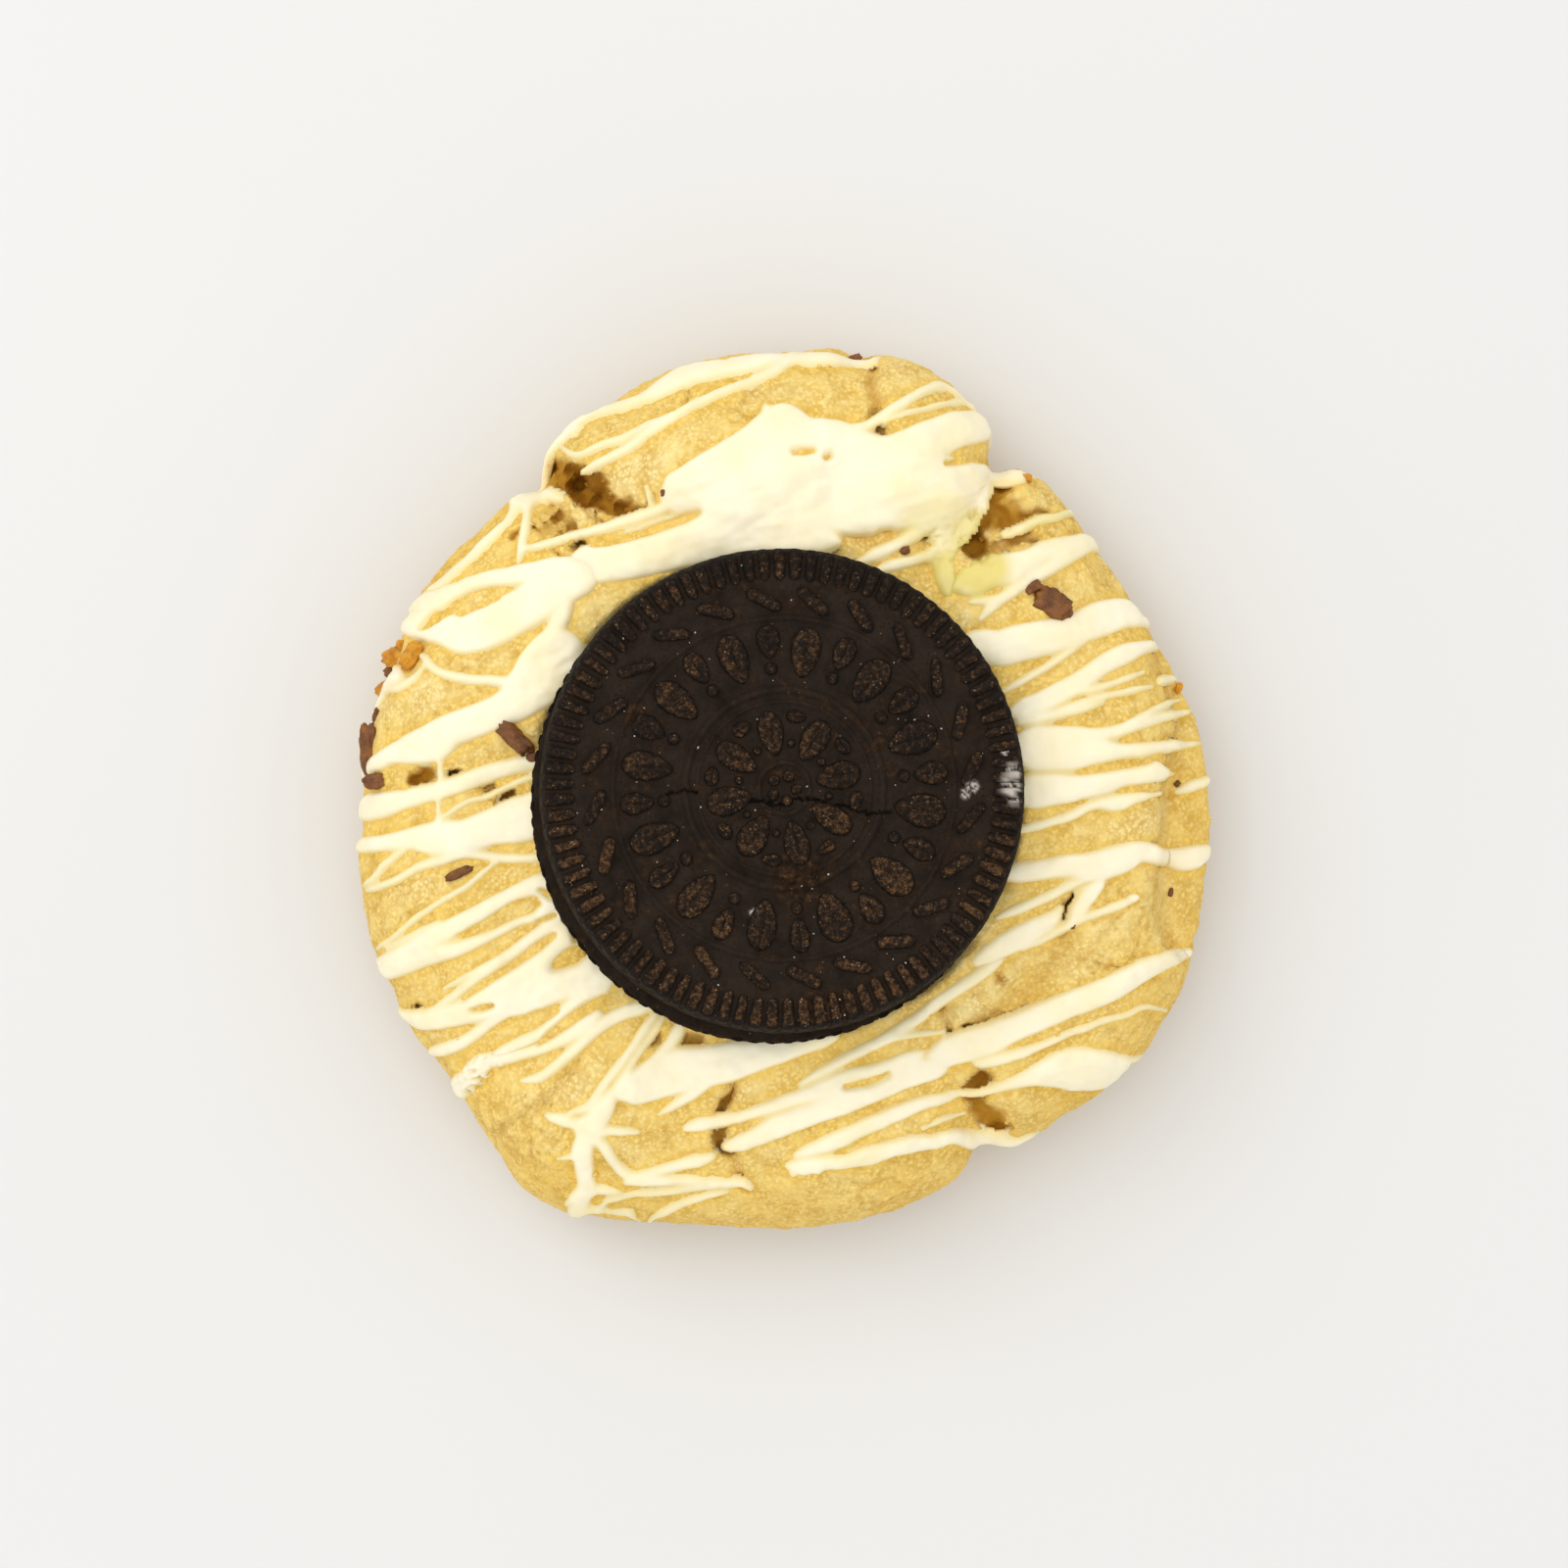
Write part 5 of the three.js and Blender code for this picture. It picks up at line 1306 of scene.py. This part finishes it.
# The wafer's damage, in its own frame seen from above with the photo's up as up.
WAFER_CRACKS = [
    [(-10.8, -0.6), (-9.2, -0.2), (-7.9, -0.4)],
    [(-4.9, -0.5), (-3.4, -1.1), (-2, -1.2), (-0.3, -1.6), (1, -1), (3.3, -1.1), (4.3, -1.7), (5.6, -1.5),
        (6.6, -2.1), (8.3, -2.4), (9.9, -2.1)],
]
SCUFFED_PATCHES = [(1.6, -8.2, 3.6), (3.6, -20.6, 3.2), (-13.5, 6.8, 1.6), (11.5, 9.0, 1.4)]
PALE_CHIPS = [
    (21.2, 1.6, 1.1), (21, 0.2, 1.4), (21.3, -0.9, 0.9), (20.4, 3.4, 0.5), (17.4, 0.2, 0.8),
    (16.7, -0.5, 0.6), (-2.8, -11.4, 0.5),
]


def wall_radius(z):
    """The wall stands widest at the wafer's inner face."""
    return BISCUIT_RADIUS - 0.06 - WALL_TAPER * smooth_step(0.5, 2.2, z)


def wafer_profile(detailed):
    """Radius and height of the wafer's rows, from the middle of its inner face round to its outer one."""
    inner = [(r, 0.0) for r in np.linspace(0.5, BISCUIT_RADIUS - 0.6, 10)]
    foot = wall_radius(0.0)
    bend = [(foot - FOOT_BEND * (1 - math.sin(a)), FOOT_BEND * (1 - math.cos(a)))
            for a in np.linspace(0.2, math.pi / 2, 4)]
    wall = [(wall_radius(z), z) for z in np.linspace(0.4, RIM_LEVEL - CORNER_RADIUS, 10)]
    middle = wall_radius(WAFER_THICKNESS) - CORNER_RADIUS
    turn = [(middle + CORNER_RADIUS * math.cos(a), RIM_LEVEL - CORNER_RADIUS * (1 - math.sin(a)))
            for a in np.linspace(0.15, math.pi / 2, 7)]
    rim = [(r, RIM_LEVEL) for r in np.linspace(middle - 0.2, PANEL_RADIUS + 0.25, 12)]
    panel_height = WAFER_THICKNESS - PANEL_DEPTH
    panel = [(r, panel_height) for r in np.linspace(PANEL_RADIUS, 0.2, 140 if detailed else 24)]
    return np.array(inner + bend + wall + turn + rim + panel)


def seen_pale(seen, ragged):
    """How pale each place of the wafer is, by its chips."""
    pale = np.zeros(ragged.shape)
    for x, y, radius in PALE_CHIPS:
        near = 1 - smooth_step(0.35, 1.0, np.hypot(seen[..., 0] - x, seen[..., 1] - y) / radius)
        pale = np.maximum(pale, near * smooth_step(-0.2, 0.15, ragged))
    return pale


def build_wafer(columns, noise_shift, detailed):
    profile = wafer_profile(detailed)
    angle = np.linspace(0, 2 * np.pi, columns, endpoint=False)
    reach, turn = np.meshgrid(profile[:, 0], angle, indexing="ij")
    height = np.repeat(profile[:, 1:2], columns, 1)
    outer = height > RIM_LEVEL - 0.05
    for radius, width, rise in RAISED_CIRCLES if detailed else []:
        height = height + outer * rise * np.exp(-(((reach - radius) / (width / 2)) ** 4))
    points = np.stack([reach * np.cos(turn), reach * np.sin(turn), height], -1)
    normal = -normals_of(points, True)
    seen = points @ np.array(Matrix.Rotation(TILT_TOWARDS, 3, "Z")).T
    coarse = noise_at(points, 0.35, 3, shift=noise_shift)
    fine = noise_at(points, 2.2, 3, 0.7, shift=6.1)
    crack = np.zeros(reach.shape)
    scuff_and_light = 0.5 * smooth_step(0.15, 0.6, noise_at(points, 0.45, 3, shift=13.0))
    pale = np.zeros(reach.shape)
    if detailed:
        pale = seen_pale(seen, fine)
        ragged = seen[..., :2] + 0.25 * fine[..., None]
        for path in WAFER_CRACKS:
            away = distance_to_path(ragged[..., 0], ragged[..., 1], path)
            crack = np.maximum(crack, np.exp(-((away / 0.11) ** 2)))
        for x, y, radius in SCUFFED_PATCHES:
            near = 1 - smooth_step(0.4, 1.0, np.hypot(seen[..., 0] - x, seen[..., 1] - y) / radius)
            scuff_and_light = np.maximum(scuff_and_light, near)
    # The wall's foot is painted brown as a lit edge, and the lower wafer's wall all over as painted light
    # where it lies in shade.
    on_wall = (reach > BISCUIT_RADIUS - 0.5) & (height > 0.02)
    foot = 1 - smooth_step(0.25, 0.6, height)
    worn = 0.9 * foot if detailed else 0.35 + 0.5 * smooth_step(-0.2, 0.4, fine)
    scuff_and_light = np.maximum(scuff_and_light, on_wall * worn)
    relief = 0.05 * coarse + 0.03 * fine + outer * (0.2 * scuff_and_light * np.abs(fine) - 0.4 * crack)
    if not detailed:
        relief += on_wall * (0.10 * coarse + 0.14 * fine)
    relief = np.where(height < 0.01, 0, relief)
    points = points + normal * relief[..., None]
    middles = np.array([[0, 0, 0.0], [0, 0, points[-1, :, 2].mean()]])
    flecks = outer * (0.01 + pale + 0.05 * scuff_and_light)
    zones = {"scuff_and_light": scuff_and_light, "crack": crack, "pale": pale, "flecks": flecks}
    attributes = {key: padded(values, len(middles)) for key, values in zones.items()}
    every = np.concatenate([points.reshape(-1, 3), middles])
    return every, closed_faces(len(profile), columns), attributes


def upper_place(points):
    """From a wafer's own frame to the upper wafer's place."""
    return from_biscuit(points + [TOP_WAFER_SHIFT, 0, WAFER_THICKNESS + CREAM_THICKNESS])


def lower_place(points):
    """From a wafer's own frame to the lower wafer's place, with its outer face down."""
    return from_biscuit(points * [1, -1, -1] + [0, 0, WAFER_THICKNESS])


# Piece, node, place, columns, where its noise is read, and whether it has the panel's detail.
WAFERS = [
    ("upper_wafer", "wafer_top", upper_place, 530, 562.5, True),
    ("lower_wafer", "wafer_bottom", lower_place, 336, 338.5, False),
]


class COOKIE_OT_wafers(bpy.types.Operator):
    """Make the two dark wafers"""

    bl_idname = "cookie.wafers"
    bl_label = "Wafers"

    def execute(self, context):
        material = wafer_material(context.scene.cookie.biscuit)
        for name, node, place, columns, noise_shift, detailed in WAFERS:
            points, faces, attributes = build_wafer(columns, noise_shift, detailed)
            wafer = new_mesh(name, place(points), faces, attributes)
            outward(wafer)
            finish_piece(wafer, material, "dark_wafer", node)
        return {"FINISHED"}


class COOKIE_OT_cream(bpy.types.Operator):
    """Make the cream between the wafers"""

    bl_idname = "cookie.cream"
    bl_label = "Cream"

    def execute(self, context):
        columns, rows = 240, 14
        angle = np.linspace(0, 2 * np.pi, columns, endpoint=False)
        rise = np.linspace(0, 1, rows)
        level, turn = np.meshgrid(rise, angle, indexing="ij")
        lip = np.sqrt(np.maximum(0, 1 - (2 * level - 1) ** 4))
        place = np.stack([np.cos(turn), np.sin(turn), level], -1)
        ragged = noise_at(place * [8, 8, 1.2], 0.35, 3) + 0.5 * noise_at(place * [22, 22, 3], 0.5, 2)
        reach = CREAM_RADIUS - 0.7 + 0.5 * lip + 0.45 * ragged
        base = WAFER_THICKNESS + CREAM_GAP
        top = WAFER_THICKNESS + CREAM_THICKNESS - CREAM_GAP
        height = base + (CREAM_THICKNESS - 2 * CREAM_GAP) * level
        points = np.stack([reach * np.cos(turn), reach * np.sin(turn), height], -1)
        every = np.concatenate([points.reshape(-1, 3), [[0, 0, base], [0, 0, top]]])
        every = from_biscuit(every + [TOP_WAFER_SHIFT / 2, 0, 0])
        cream = new_mesh("cream", every, closed_faces(rows, columns))
        outward(cream)
        finish_piece(cream, cream_material(context.scene.cookie.biscuit), "cream", "cream_filling")
        return {"FINISHED"}


# ======== The wafer's raised design ========
def shape_object(name, points, faces):
    """A shape for the rings, in metres in its own frame, not linked to the scene."""
    mesh = bpy.data.meshes.new(name)
    mesh.from_pydata((np.asarray(points) * MM).tolist(), [], [list(face) for face in faces])
    return bpy.data.objects.new(name, mesh)


def swept_shape(name, path, half_widths, height):
    """A rounded bar along a path of (x, z, lift x, lift z), whose section is a full half round."""
    points, sides = [], 7
    for (x, z, lift_x, lift_z), half in zip(path, half_widths):
        for a in np.linspace(0, math.pi, sides):
            rise = height * math.sin(a) ** 0.55
            points.append((x + lift_x * rise, half * math.cos(a), z + lift_z * rise))
    rows = len(path)
    faces = grid_faces(rows, sides, False).tolist()
    for r in range(rows - 1):
        faces.append([r * sides, r * sides + sides - 1, (r + 1) * sides + sides - 1, (r + 1) * sides])
    faces.append(list(range(sides)))
    faces.append([(rows - 1) * sides + s for s in range(sides)][::-1])
    return shape_object(name, points, faces)


def rib_shape(middle, fades):
    """One ridge of the rim: over the rim's top, round its corner and down the wall, where it may fade."""
    corner = wall_radius(WAFER_THICKNESS) - CORNER_RADIUS
    sunk = 0.12
    path = []
    for x in (PANEL_RADIUS - 0.1, PANEL_RADIUS + 0.1, PANEL_RADIUS + 0.5, PANEL_RADIUS + 1.1, corner - 0.4):
        path.append((x, RIM_LEVEL - sunk, 0, 1))
    for a in np.linspace(0.25, math.pi / 2, 5):
        lean = (CORNER_RADIUS - sunk) * math.sin(a)
        drop = CORNER_RADIUS - (CORNER_RADIUS - sunk) * math.cos(a)
        path.append((corner + lean, RIM_LEVEL - drop, 0.6 * math.sin(a), math.cos(a)))
    for z in (1.9, 1.5, 1.1, 0.75, 0.4, 0.15):
        lift = 0.6 * float(smooth_step(0.6, 2.0, z)) if fades else 0.42
        path.append((wall_radius(z) - sunk, z, lift, 0))
    widths = [0.3, 0.44, 0.51, 0.54, 0.57] + [0.6] * 5 + [0.62, 0.62, 0.62, 0.6, 0.56, 0.5]
    path = [(x - middle, z - RIM_LEVEL, lift_x, lift_z) for x, z, lift_x, lift_z in path]
    return swept_shape("rib", path, widths, RIB_HEIGHT + sunk)


def bar_shape(length, width, height):
    """A straight bar with round ends, standing on the panel."""
    steps = np.linspace(-1, 1, 11)
    ease = np.sqrt(np.maximum(0.02, 1 - np.abs(steps) ** (2 * length / width)))
    path = [(0.5 * length * t, -SHAPE_SINK, 0, 1) for t in steps]
    bar = swept_shape("bar", path, 0.5 * width * ease, height + SHAPE_SINK)
    for vertex in bar.data.vertices:
        if vertex.co.z > 0:
            end = abs(vertex.co.x) / (0.5 * length * MM)
            vertex.co.z *= 1 - 0.6 * end**6
    return bar


def leaf_shape(length, width, height):
    """A pointed leaf with a groove down its middle and notched sides."""
    along, across = np.meshgrid(np.linspace(-1, 1, 19), np.linspace(-1, 1, 13), indexing="ij")
    blade = np.maximum(0.02, 1 - along**2) ** 0.6 * (1 + 0.25 * along)
    notched = 1 + 0.03 * np.cos(along * 15)
    dome = np.maximum(0, 1 - across**2) ** 0.35 * np.maximum(0, 1 - along**4) ** 0.4
    vein = 0.5 * np.exp(-((across / 0.13) ** 2)) * (1 - along**2)
    ribs = 0.08 * np.cos(along * 19 - 5 * np.abs(across)) * (1 - along**2)
    x = 0.5 * length * along
    y = 0.5 * width * blade * notched * across
    z = height * dome * (1 - vein + ribs)
    rows, columns = along.shape
    top = np.stack([x, y, z], -1).reshape(-1, 3)
    foot = np.stack([x, y, np.full(x.shape, -0.1)], -1).reshape(-1, 3)
    faces = grid_faces(rows, columns, False).tolist()
    count = len(top)
    faces += [[count + i for i in face[::-1]] for face in faces]
    border = [r * columns for r in range(rows)] + [(rows - 1) * columns + c for c in range(1, columns)]
    border += [r * columns + columns - 1 for r in range(rows - 2, -1, -1)]
    border += list(range(columns - 2, 0, -1))
    for a, b in zip(border, border[1:] + border[:1]):
        faces.append([a, b, count + b, count + a])
    return shape_object("leaf", np.concatenate([top, foot]), faces)


def bead_shape(radius, height):
    """A low round bead."""
    points, sides, rows = [], 12, 5
    for r in range(rows):
        a = math.pi / 2 * r / rows
        for s in range(sides):
            turn = 2 * math.pi * s / sides
            points.append((radius * math.cos(a) * math.cos(turn), radius * math.cos(a) * math.sin(turn),
                           -SHAPE_SINK + (height + SHAPE_SINK) * math.sin(a) ** 0.8))
    points += [(0, 0, -SHAPE_SINK), (0, 0, height)]
    return shape_object("bead", points, closed_faces(rows, sides))


def raised_attributes(piece, local, level):
    """Marks the crests of a raised piece, and the pale chips on it, from its points in the wafer's frame."""
    reach = np.hypot(local[:, 0], local[:, 1])
    over = np.maximum(local[:, 2] - level, 0.8 * (reach - wall_radius(local[:, 2])))
    seen = local @ np.array(Matrix.Rotation(TILT_TOWARDS, 3, "Z")).T
    # The crests are browner, partly wear and partly painted light, here and there and more towards the
    # cookie's front; low on each piece they stay dark, as painted shade.
    patchy = smooth_step(-0.35, 0.35, noise_at(seen, 0.13, 2, shift=40.0))
    brown = 0.40 + 0.32 * patchy + 0.28 * smooth_step(8.0, -10.0, seen[:, 1])
    values = {
        "crest": brown * smooth_step(0.1, 0.45, over),
        "pale": seen_pale(seen, noise_at(local, 2.2, 3, 0.7, shift=6.1)) * smooth_step(0.15, 0.4, over),
    }
    for key, numbers in values.items():
        layer = piece.data.attributes.new(key, "FLOAT", "POINT")
        layer.data.foreach_set("value", np.asarray(numbers, np.float32))


class COOKIE_OT_emboss(bpy.types.Operator):
    """Make the rim's ridges and the raised design of leaves, bars and beads"""

    bl_idname = "cookie.emboss"
    bl_label = "Ridges and raised design"

    def ring(self, name, shape, count, radius, level, place, seed, slant=0.0, first=0.0, uneven=0.09):
        look = bpy.context.scene.cookie.biscuit
        piece = grown(name, self.tree, {
            "Shape": shape, "Count": count, "Radius": radius * MM, "Slant": slant, "First angle": first,
            "Variation": look.variation, "Unevenness": uneven * MM, "Seed": seed, "Material": self.material,
        })
        local = np.array([vertex.co[:] for vertex in piece.data.vertices]) / MM + [0, 0, level]
        raised_attributes(piece, local, level)
        piece.data.vertices.foreach_set("co", ((place(local) + SHIFT) * MM).ravel())
        return piece

    def execute(self, context):
        look = context.scene.cookie.biscuit
        self.material = raised_material(look)
        self.tree = ring_tree()
        relief = look.relief_height / MM
        rim_middle = BISCUIT_RADIUS - RIM_WIDTH / 2
        count, many = look.leaf_count, look.ridge_count
        between = math.pi / count
        ribs = self.ring("upper_ridges", rib_shape(rim_middle, True), many, rim_middle, RIM_LEVEL,
                         upper_place, 20)
        low = self.ring("lower_ridges", rib_shape(rim_middle, False), many, rim_middle, RIM_LEVEL,
                        lower_place, 50, first=0.03, uneven=0.2)
        panel = WAFER_THICKNESS - PANEL_DEPTH
        # Shape, count, ring radius, slant, first angle.
        rings = [
            (bar_shape(3.7, 1.2, relief), 2 * count, 17.45, 1.0, 0.0),
            (leaf_shape(4.9, 3.0, relief), count, 12.7, 0.0, 0.0),
            (leaf_shape(3.3, 2.1, relief * 0.9), count, 13.6, 0.0, between),
            (bead_shape(0.62, relief * 0.9), count, 11.1, 0.0, between),
            (leaf_shape(4.3, 2.6, relief), 8, 5.15, 0.0, 0.12),
            (leaf_shape(1.9, 1.3, relief * 0.8), 8, 6.7, math.pi / 2, 0.12 + math.pi / 8),
            (bead_shape(0.42, relief * 0.8), 8, 4.2, 0.0, 0.12 + math.pi / 8),
            (bead_shape(0.55, relief), 5, 1.15, 0.0, 0.3),
        ]
        made = []
        for number, (shape, copies, radius, slant, first) in enumerate(rings):
            made.append(self.ring(f"ring_{number}", shape, copies, radius, panel, upper_place, 30 + number,
                                  slant, first))
        design = join_pieces("upper_design", made)
        for piece, node in ((ribs, "wafer_top"), (design, "wafer_top"), (low, "wafer_bottom")):
            outward(piece)
            finish_piece(piece, self.material, "dark_wafer", node)
        return {"FINISHED"}


# ======== Bits and crumbs ========
def lump_object(name, detail, blocky, ragged, seed):
    """A rough lump about 2 mm across, in metres in its own frame, not linked to the scene."""
    work = bmesh.new()
    bmesh.ops.create_icosphere(work, subdivisions=detail, radius=1.0)
    for vertex in work.verts:
        way = vertex.co.normalized()
        box = max(abs(way.x), abs(way.y), abs(way.z))
        reach = (1 - blocky) + blocky / box * 0.8
        reach += ragged * noise.fractal(way * 1.6 + Vector((seed, 0, 0)), 0.6, 2.0, 4)
        vertex.co = way * reach * MM
    mesh = bpy.data.meshes.new(name)
    work.to_mesh(mesh)
    work.free()
    return bpy.data.objects.new(name, mesh)


def place_bits(name, bits, material, slot, seed):
    """Each bit is a rough lump of its own size, sunk into the dough."""
    pieces = []
    for number, (x, y, length, width, height, turn, sunk) in enumerate(bits):
        lump = lump_object(f"{name}_{number}", 4 if length > 1.4 else 3, 0.5, 0.24, seed + 3.7 * number)
        bpy.context.scene.collection.objects.link(lump)
        foot = on_dough(np.array([x]), np.array([y]), DRIZZLE_SAG)[0]
        centre = foot + [0, 0, height * (0.5 - sunk)]
        size = Matrix.Diagonal((length / 2, width / 2, height / 2, 1))
        spin = Matrix.Rotation(math.radians(turn), 4, "Z")
        lump.data.transform(Matrix.Translation((centre + SHIFT) * MM) @ spin @ size)
        pieces.append(lump)
    joined = join_pieces(name, pieces)
    outward(joined)
    finish_piece(joined, material, slot, "cookie_dough")


class COOKIE_OT_bits(bpy.types.Operator):
    """Make the chocolate and caramel bits in the dough"""

    bl_idname = "cookie.bits"
    bl_label = "Chocolate and caramel"

    def execute(self, context):
        look = context.scene.cookie.bits
        chocolate = bit_material("chocolate", look.chocolate_dark, look.chocolate_light, 0.5, 0.05)
        caramel = bit_material("caramel", look.caramel_dark, look.caramel_light, 0.3, 0.3)
        place_bits("chocolate_bits", CHOCOLATE_BITS, chocolate, "chocolate", 2.0)
        place_bits("caramel_bits", CARAMEL_BITS, caramel, "caramel", 51.0)
        return {"FINISHED"}


# Flecks per square metre where the wafer's attribute flecks is 1.
FLECK_DENSITY = 3.5e6


class COOKIE_OT_crumbs(bpy.types.Operator):
    """Scatter loose crumbs on the dough and pale flecks on the upper wafer"""

    bl_idname = "cookie.crumbs"
    bl_label = "Crumbs and flecks"

    def execute(self, context):
        look = context.scene.cookie.bits
        dough, wafer = bpy.data.objects["dough"], bpy.data.objects["upper_wafer"]
        crust = dough.data.materials[0]
        crumb = lump_object("crumb_shape", 2, 0.4, 0.4, 5.0)
        tree = scatter_tree()
        crumbs = grown("crumbs", tree, {
            "Surface": dough, "Shape": crumb, "Zone": "crumbs", "Density": look.crumb_density,
            "Smallest": 0.10, "Largest": 0.34, "Unevenness": 0.08 * MM, "Seed": 4, "Material": crust,
        })
        outward(crumbs)
        finish_piece(crumbs, crust, "baked_dough", "cookie_dough")
        fleck_material = bit_material("pale_fleck", (0.30, 0.25, 0.20), (0.62, 0.56, 0.48), 0.6, 0.0)
        flecks = grown("flecks", tree, {
            "Surface": wafer, "Shape": crumb, "Zone": "flecks", "Density": FLECK_DENSITY,
            "Smallest": 0.03, "Largest": 0.12, "Unevenness": 0.04 * MM, "Seed": 9, "Material": fleck_material,
        })
        outward(flecks)
        finish_piece(flecks, fleck_material, "cream", "wafer_top")
        return {"FINISHED"}


# ======== Stage ========
# In metres: half the floor's side, and each light's place and the width of its disk.
FLOOR_REACH = 6.0
KEY_LIGHT = ((-0.45, 0.38, 0.62), 0.5)
TOP_LIGHT = ((-0.12, 0.12, 0.95), 0.7)
SENSOR_WIDTH = 36


class COOKIE_OT_stage(bpy.types.Operator):
    """Make the pale floor, the soft lights and the camera straight above"""

    bl_idname = "cookie.stage"
    bl_label = "Floor, lights and camera"

    def area_light(self, name, place, size, power):
        light = bpy.data.lights.new(name, "AREA")
        light.shape = "DISK"
        light.size = size
        light.energy = power
        obj = linked_object(name, light)
        obj.location = place
        obj.rotation_euler = (-Vector(place)).to_track_quat("-Z", "Y").to_euler()

    def execute(self, context):
        stage = context.scene.cookie.stage
        mesh = bpy.data.meshes.new("floor")
        corners = [(x * FLOOR_REACH, y * FLOOR_REACH, 0) for x, y in ((-1, -1), (1, -1), (1, 1), (-1, 1))]
        mesh.from_pydata(corners, [], [(0, 1, 2, 3)])
        floor = linked_object("floor", mesh)
        mesh.materials.append(floor_material(stage))
        world = bpy.data.worlds.new("soft_sky")
        world.use_nodes = True
        sky = world.node_tree.nodes["Background"].inputs
        sky["Color"].default_value = (1, 1, 1, 1)
        sky["Strength"].default_value = stage.sky
        context.scene.world = world
        self.area_light("key_light", *KEY_LIGHT, stage.key_power)
        self.area_light("top_light", *TOP_LIGHT, stage.top_power)
        camera = bpy.data.cameras.new("camera")
        camera.lens = stage.lens
        camera.sensor_width = SENSOR_WIDTH
        eye = linked_object("camera", camera)
        eye.location = (SHIFT[0] * MM, SHIFT[1] * MM, EYE_HEIGHT * MM)
        context.scene.camera = eye
        context.scene.view_settings.view_transform = "Standard"
        return {"FINISHED"}


class COOKIE_PT_panel(bpy.types.Panel):
    """The cookie's settings and what makes its pieces"""

    bl_label = "Cookie"
    bl_idname = "COOKIE_PT_panel"
    bl_space_type = "VIEW_3D"
    bl_region_type = "UI"
    bl_category = "Cookie"

    def draw(self, context):
        settings = context.scene.cookie
        for operator, group in STEPS:
            box = self.layout.box()
            box.operator(operator)
            for key in getattr(settings, group).bl_rna.properties.keys():
                if key not in ("name", "rna_type"):
                    box.prop(getattr(settings, group), key)


# Each step's operator and the group of settings that it reads, in the order of making.
STEPS = [
    ("cookie.dough", "dough"), ("cookie.drizzle", "drizzle"), ("cookie.wafers", "biscuit"),
    ("cookie.cream", "biscuit"), ("cookie.emboss", "biscuit"), ("cookie.bits", "bits"),
    ("cookie.crumbs", "bits"), ("cookie.stage", "stage"),
]
CLASSES = (
    DoughSettings, DrizzleSettings, BiscuitSettings, BitSettings, StageSettings, CookieSettings,
    COOKIE_OT_dough, COOKIE_OT_drizzle, COOKIE_OT_wafers, COOKIE_OT_cream, COOKIE_OT_emboss,
    COOKIE_OT_bits, COOKIE_OT_crumbs, COOKIE_OT_stage, COOKIE_PT_panel,
)


def register():
    for item in CLASSES:
        bpy.utils.register_class(item)
    bpy.types.Scene.cookie = PointerProperty(type=CookieSettings)


def unregister():
    del bpy.types.Scene.cookie
    for item in reversed(CLASSES):
        bpy.utils.unregister_class(item)


def main():
    register()
    for operator, _group in STEPS:
        group, name = operator.split(".")
        getattr(getattr(bpy.ops, group), name)()


if __name__ == "__main__":
    main()
